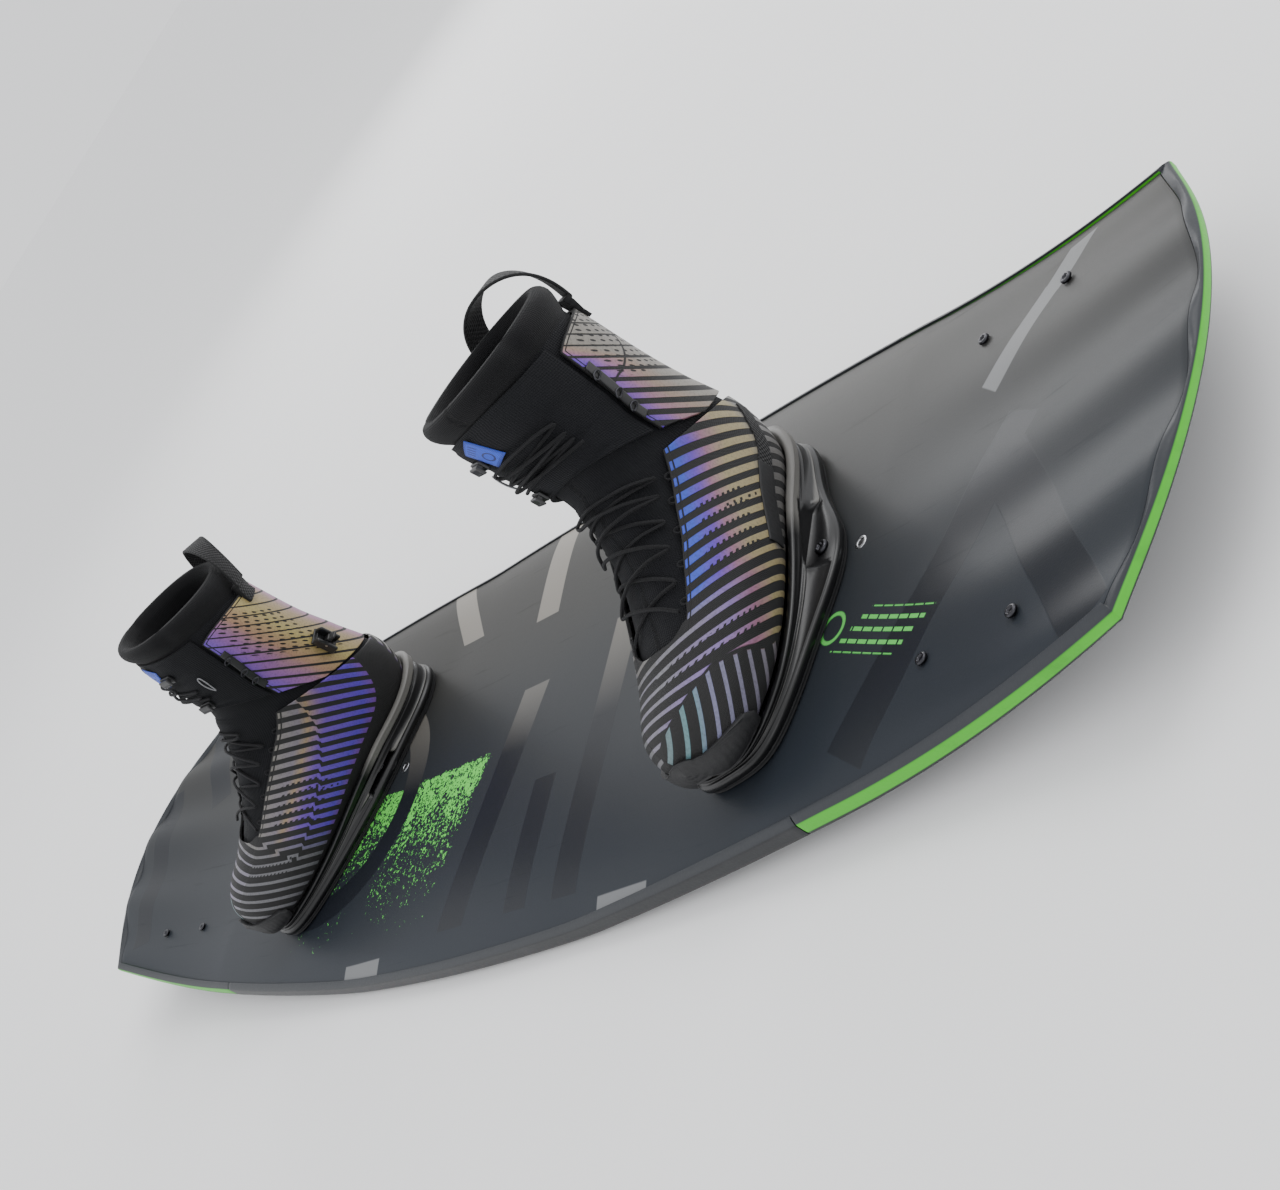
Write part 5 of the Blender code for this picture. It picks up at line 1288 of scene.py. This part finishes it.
def make_pull_loop(b):
    """A webbing strap that arches between its two tabs, its ends sunk in them."""
    width, thickness, lean, twist, steps = 20 * MM, 2.4 * MM, 0.2, 1.1, 64
    section = [(-0.5, -0.3), (-0.47, -0.46), (-0.40, -0.5), (-0.2, -0.5), (0.0, -0.5), (0.2, -0.5),
               (0.40, -0.5), (0.47, -0.46), (0.5, -0.3), (0.5, 0.3), (0.47, 0.46), (0.40, 0.5), (0.36, 0.42),
               (0.32, 0.5), (0.0, 0.5), (-0.32, 0.5), (-0.36, 0.42), (-0.40, 0.5), (-0.47, 0.46), (-0.5, 0.3)]
    rings, up = [], []
    stops = [(0, -1.2)] + [(n, 0) for n in range(steps + 1)] + [(steps, -1.2)]  # the last two end the strap
    for n, drop in stops:
        turn = math.pi * n / steps
        rise = LOOP_RISE * max(math.sin(turn), 0) ** 0.8 + drop * MM
        centre = Vector((LOOP_HALF_WIDTH * math.cos(turn) * (1 + drop * 0.016), lean * rise, rise))
        out = Vector((math.cos(turn) / LOOP_HALF_WIDTH, 0, math.sin(turn) / LOOP_RISE)).normalized()
        side_way = Vector((-twist * math.cos(turn), 1, -lean * math.sin(turn))).normalized()
        out = (out - side_way * out.dot(side_way)).normalized()
        rings.append([tuple(centre + side_way * (a * width) + out * (c * thickness)) for a, c in section])
        up.append(turn * 46 + (drop if n == 0 else -drop))
    rings = b.row(np.array(rings) + LOOP_AXIS, 1)
    values = {"mm_up": np.array(up)[:, None], "mm_round": np.array([a * 20 for a, _ in section])[None]}
    obj = ring_solid(b.side + "_pull_strap", rings, MATS["webbing"], values, flip=b.flip)
    b.add(obj, "loop", "black_webbing", "pull_loop")


def zigzag(first, last, rows, edge, lift):
    """(station, angle, inset) points of one lace strand that crosses the opening once for each row."""
    found = []
    for row in range(rows):
        for share in (0, 0.25, 0.5, 0.75):
            station = first + (last - first) * (row + share) / rows
            found.append((station, 180 + edge(station) * (-1) ** row * (1 - 2 * share), lift))
    return found


def lace_points(first, last, rows, edge):
    """One lace up the opening and back down over itself, held at the top by its own turn."""
    up = zigzag(first, last, rows, edge, -2.2 * MM)
    side = (-1) ** rows
    reach = edge(last) * side
    turn = [(last, 180 + reach, -2.2 * MM), (last + 0.12, 180 + reach * 0.6, -3.5 * MM),
            (last + 0.16, 180, -4.6 * MM), (last + 0.12, 180 - reach * 0.6, -5.2 * MM)]
    down = [(s, 360 - a, -5.4 * MM) for s, a, _ in reversed(up)]
    return np.array(up + turn + down)


def tube(name, points, radius, mat, closed=False):
    """A round cord along points, made of rings square to it."""
    sides = 8
    points = np.asarray(points)
    if closed:
        ahead = np.roll(points, -1, 0) - np.roll(points, 1, 0)
    else:
        ahead = np.gradient(points, axis=0)
    ahead /= np.linalg.norm(ahead, axis=1)[:, None]
    side_way = np.cross(ahead[0], [0.3, 0.5, 0.8])
    rings, length = [], [0.0]
    for n, (point, way) in enumerate(zip(points, ahead)):
        side_way = side_way - way * np.dot(side_way, way)
        side_way /= np.linalg.norm(side_way)
        other = np.cross(way, side_way)
        turns = np.arange(sides) * 2 * math.pi / sides
        rings.append(point + radius * (np.cos(turns)[:, None] * side_way + np.sin(turns)[:, None] * other))
        if n:
            length.append(length[-1] + np.linalg.norm(point - points[n - 1]))
    values = {"mm_up": np.array(length)[:, None] / MM,
              "mm_round": np.arange(sides) * 2 * math.pi * radius / MM / sides}
    return ring_solid(name, rings, mat, values, caps=not closed, closed=closed)


def smooth_line(points):
    """Points of a polyline, closer together and with its corners rounded."""
    t = np.linspace(0, len(points) - 1, (len(points) - 1) * 6 + 1)
    line = np.column_stack([np.interp(t, range(len(points)), points[:, k]) for k in range(3)])
    for _ in range(4):
        line[1:-1] = (line[:-2] + 2 * line[1:-1] + line[2:]) / 4
    return line


def make_laces(b):
    """The lower and the upper lace, each one cord laid along its route."""
    for name, node, first, last, rows, edge, sunk, body, upper in (
            ("lace_foot", "lower_lace", 3.7, 6.9, 5, lambda s: 176 - throat_edge(s), SHELL, "boot", 0),
            ("lace_cuff", "upper_lace", 9.4, 10.3, 3, lambda s: 0.5 * (180 - CUFF_EDGE), 0, "upper", 1)):
        route = lace_points(first, last, rows, edge)
        points = smooth_line(b.row(boot_points(route[:, 0], route[:, 1], route[:, 2] + sunk), upper))
        b.add(tube(f"{b.side}_{name}", points, LACE_RADIUS, MATS["cord"]), body, "black_cord", node)


def surface_frame(b, station, angle, inset, upper=1):
    """Place, side, up and out on the boot's surface, in the row frame."""
    here = b.row(boot_points(station, angle, inset), upper)
    up = b.row(boot_points(station + 0.1, angle, inset), upper) - here
    away = here - b.row(boot_points(station, angle, inset + 5 * MM), upper)
    side_way = b.row(boot_points(station, angle + 2, inset), upper) - here
    out = np.cross(side_way, up)
    out /= np.linalg.norm(out)
    if np.dot(out, away) < 0:
        out = -out
    up = up - out * np.dot(up, out)
    up /= np.linalg.norm(up)
    return Matrix.Translation(Vector(here)) @ Matrix((Vector(np.cross(up, out)), Vector(up), Vector(out))) \
        .transposed().to_4x4()


def blocks(place, *sizes):
    """Softened nylon blocks from (size, middle, bevel, taper towards the top), in millimetres."""
    made = []
    for size, at, bevel, taper in sizes:
        bm = bmesh.new()
        bmesh.ops.create_cube(bm, size=1)
        for vert in bm.verts:
            if vert.co.z > 0:
                vert.co.x *= taper
                vert.co.y *= taper
        spot, scale = ([v * MM for v in triple] for triple in (at, size))
        matrix = place @ Matrix.Translation(spot) @ Matrix.Diagonal((*scale, 1))
        bmesh.ops.transform(bm, verts=bm.verts, matrix=matrix)
        mesh = bpy.data.meshes.new("block")
        bm.to_mesh(mesh)
        bm.free()
        mesh.materials.append(MATS["nylon"])
        made.append(soften(linked("block", mesh), bevel * MM, 3, 30))
    return made


def make_hooks(b):
    """Two lace hooks on the tongue: a base, a neck and a ribbed cap."""
    for name, station in (("upper", 10.75), ("lower", 8.95)):
        hook = blocks(surface_frame(b, station, 205, -0.5 * MM),
                      ((15, 9, 2.2), (0, 0, 1.4), 0.7, 1), ((12, 4.2, 3.0), (0, 1.4, 3.4), 0.5, 1),
                      ((14.6, 8.4, 1.9), (0, 0, 5.3), 0.8, 0.86), ((9, 1.2, 1.0), (0, -2.0, 6.2), 0.3, 1))
        b.add(joined(f"{b.side}_hook_{name}", hook), "upper", "black_nylon", f"lace_hook_{name}")


def make_lock(b):
    """The lace lock: a housing with two cheeks and guide bars, and a ribbed lever on its pin."""
    place = surface_frame(b, 9.0, -52, -1.2 * MM)
    body = blocks(place, ((3.4, 23.6, 10.6), (-6.1, 0, 5.5), 1.2, 0.9),
                  ((3.4, 23.6, 10.6), (6.1, 0, 5.5), 1.2, 0.9), ((15.8, 24, 2.6), (0, 0, 1.5), 0.8, 1),
                  ((9, 1.6, 1.4), (0, -8.5, 3.0), 0.4, 1), ((9, 1.6, 1.4), (0, 8.5, 3.0), 0.4, 1))
    b.add(joined(b.side + "_lock_housing", body), "upper", "black_nylon", "lace_lock_body")
    lever = blocks(place, ((7.4, 4.8, 7.6), (0, 0, 8.6), 1.6, 1), ((7.8, 3.0, 9.0), (0, 0.2, 15.6), 1.0, 0.85),
                   *[((6.4, 0.9, 0.8), (0, 1.6, z), 0.25, 1) for z in (14, 16, 18)])
    b.add(joined(b.side + "_lock_lever", lever), "lever", "black_nylon", "lace_lock_lever")
    repaint(b.side + "_lace_lock_pin", MATS["steel"])


def small_loop(place, half_width, half_height, rise, radius, mat):
    """A closed oval of cord or wire, its sides lifted by rise; sizes in millimetres."""
    turns = np.linspace(0, 2 * math.pi, 24, endpoint=False)
    line = [tuple(place @ Vector((half_width * MM * math.cos(t), half_height * MM * math.sin(t),
                                  rise * MM * math.cos(t) ** 2))) for t in turns]
    return tube("loop", np.array(line), radius * MM, mat, closed=True)


def make_trim(b):
    """Pull strap tabs, heel strap and patch, eyestays, lace loops and guides, and the shin cord's loop."""
    high = np.interp(np.linspace(0, 1, 60), (0, 0.3, 0.7, 1), (5.2, 4.8, 3.0, 2.9))[:, None] * MM
    tabs = [ribbon_on_boot("tab", b, [(11.84, sign * 37.5), (11.5, sign * 39), (11.15, sign * 40)], 19.6 * MM,
                           0.1 * MM, high, MATS["webbing"], 1) for sign in (1, -1)]
    b.add(joined(b.side + "_pull_strap_tabs", tabs), "upper", "black_webbing")
    strap = ribbon_on_boot(b.side + "_heel_strap", b, [(7.95, 47), (7.5, 58), (7.0, 65), (6.62, 70)], 13 * MM,
                           0.1 * MM, 1.0 * MM, MATS["webbing"])
    b.add(strap, "boot", "black_webbing")
    patch = ribbon_on_boot(b.side + "_heel_patch", b, [(6.66, 69.5), (6.2, 73), (5.7, 74), (5.25, 73)],
                           14 * MM, 0.1 * MM, 1.2 * MM, MATS["rubber"])
    b.add(patch, "boot", "black_rubber")
    for sign, name in ((1, "outer"), (-1, "inner")):
        path = [(8.75, sign * 101.5), (9.6, sign * 101.8), (10.6, sign * 100.5)]
        stay = ribbon_on_boot(f"{b.side}_eyestay_{name}", b, path, 6.5 * MM, 0.1 * MM, 1.5 * MM,
                              MATS["nylon"], 1)
        b.add(stay, "upper", "black_nylon")
        loops = [small_loop(surface_frame(b, station, sign * 103, -1.9 * MM), 3.6, 2.2, 0.9, 0.7,
                            MATS["dark_steel"]) for station in (9.15, 9.75, 10.35)]
        b.add(joined(f"{b.side}_lace_loops_{name}", loops), "upper", "black_steel")
    place = surface_frame(b, 10.35, -131, -1.6 * MM)
    turns = np.linspace(0, 2 * math.pi, 40, endpoint=False)
    line = [tuple(place @ Vector(((1.9 + 0.8 * math.sin(t)) * math.cos(t) * MM, (10 * math.sin(t) - 8) * MM,
                                  (0.6 + 1.2 * math.cos(t) ** 2) * MM))) for t in turns]
    pull = tube(b.side + "_lace_pull_loop", np.array(line), 0.55 * MM, MATS["steel_cord"], closed=True)
    b.add(pull, "upper", "black_cord")
    loops = []
    for sign in (1, -1):
        for n in range(5):
            station = 3.95 + n * 0.72
            place = surface_frame(b, station, sign * (throat_edge(station) + 0.5), 1.2 * MM, 0)
            loops.append(small_loop(place, 3.4, 2.0, 0, 0.75, MATS["cord"]))
    b.add(joined(f"{b.side}_lace_guides", loops), "boot", "black_cord")


def make_boot(side):
    """All pieces of one boot, and the two screws that hold it to the board."""
    b = Boot(side)
    for make in (make_chassis, make_footbed, make_liner, make_vamp, make_toe_cap, make_cuff, make_tongue,
                 make_pull_loop, make_laces, make_hooks, make_lock, make_trim):
        make(b)
    for place in ("inner", "outer"):
        node = f"{side}_mount_screw_{place}"
        to_board(torx_head(f"{side}_boot_screw_{place}", node, 5.5 * MM, 3 * MM), "black_steel", node)


for boot_side in BOOTS:
    make_boot(boot_side)
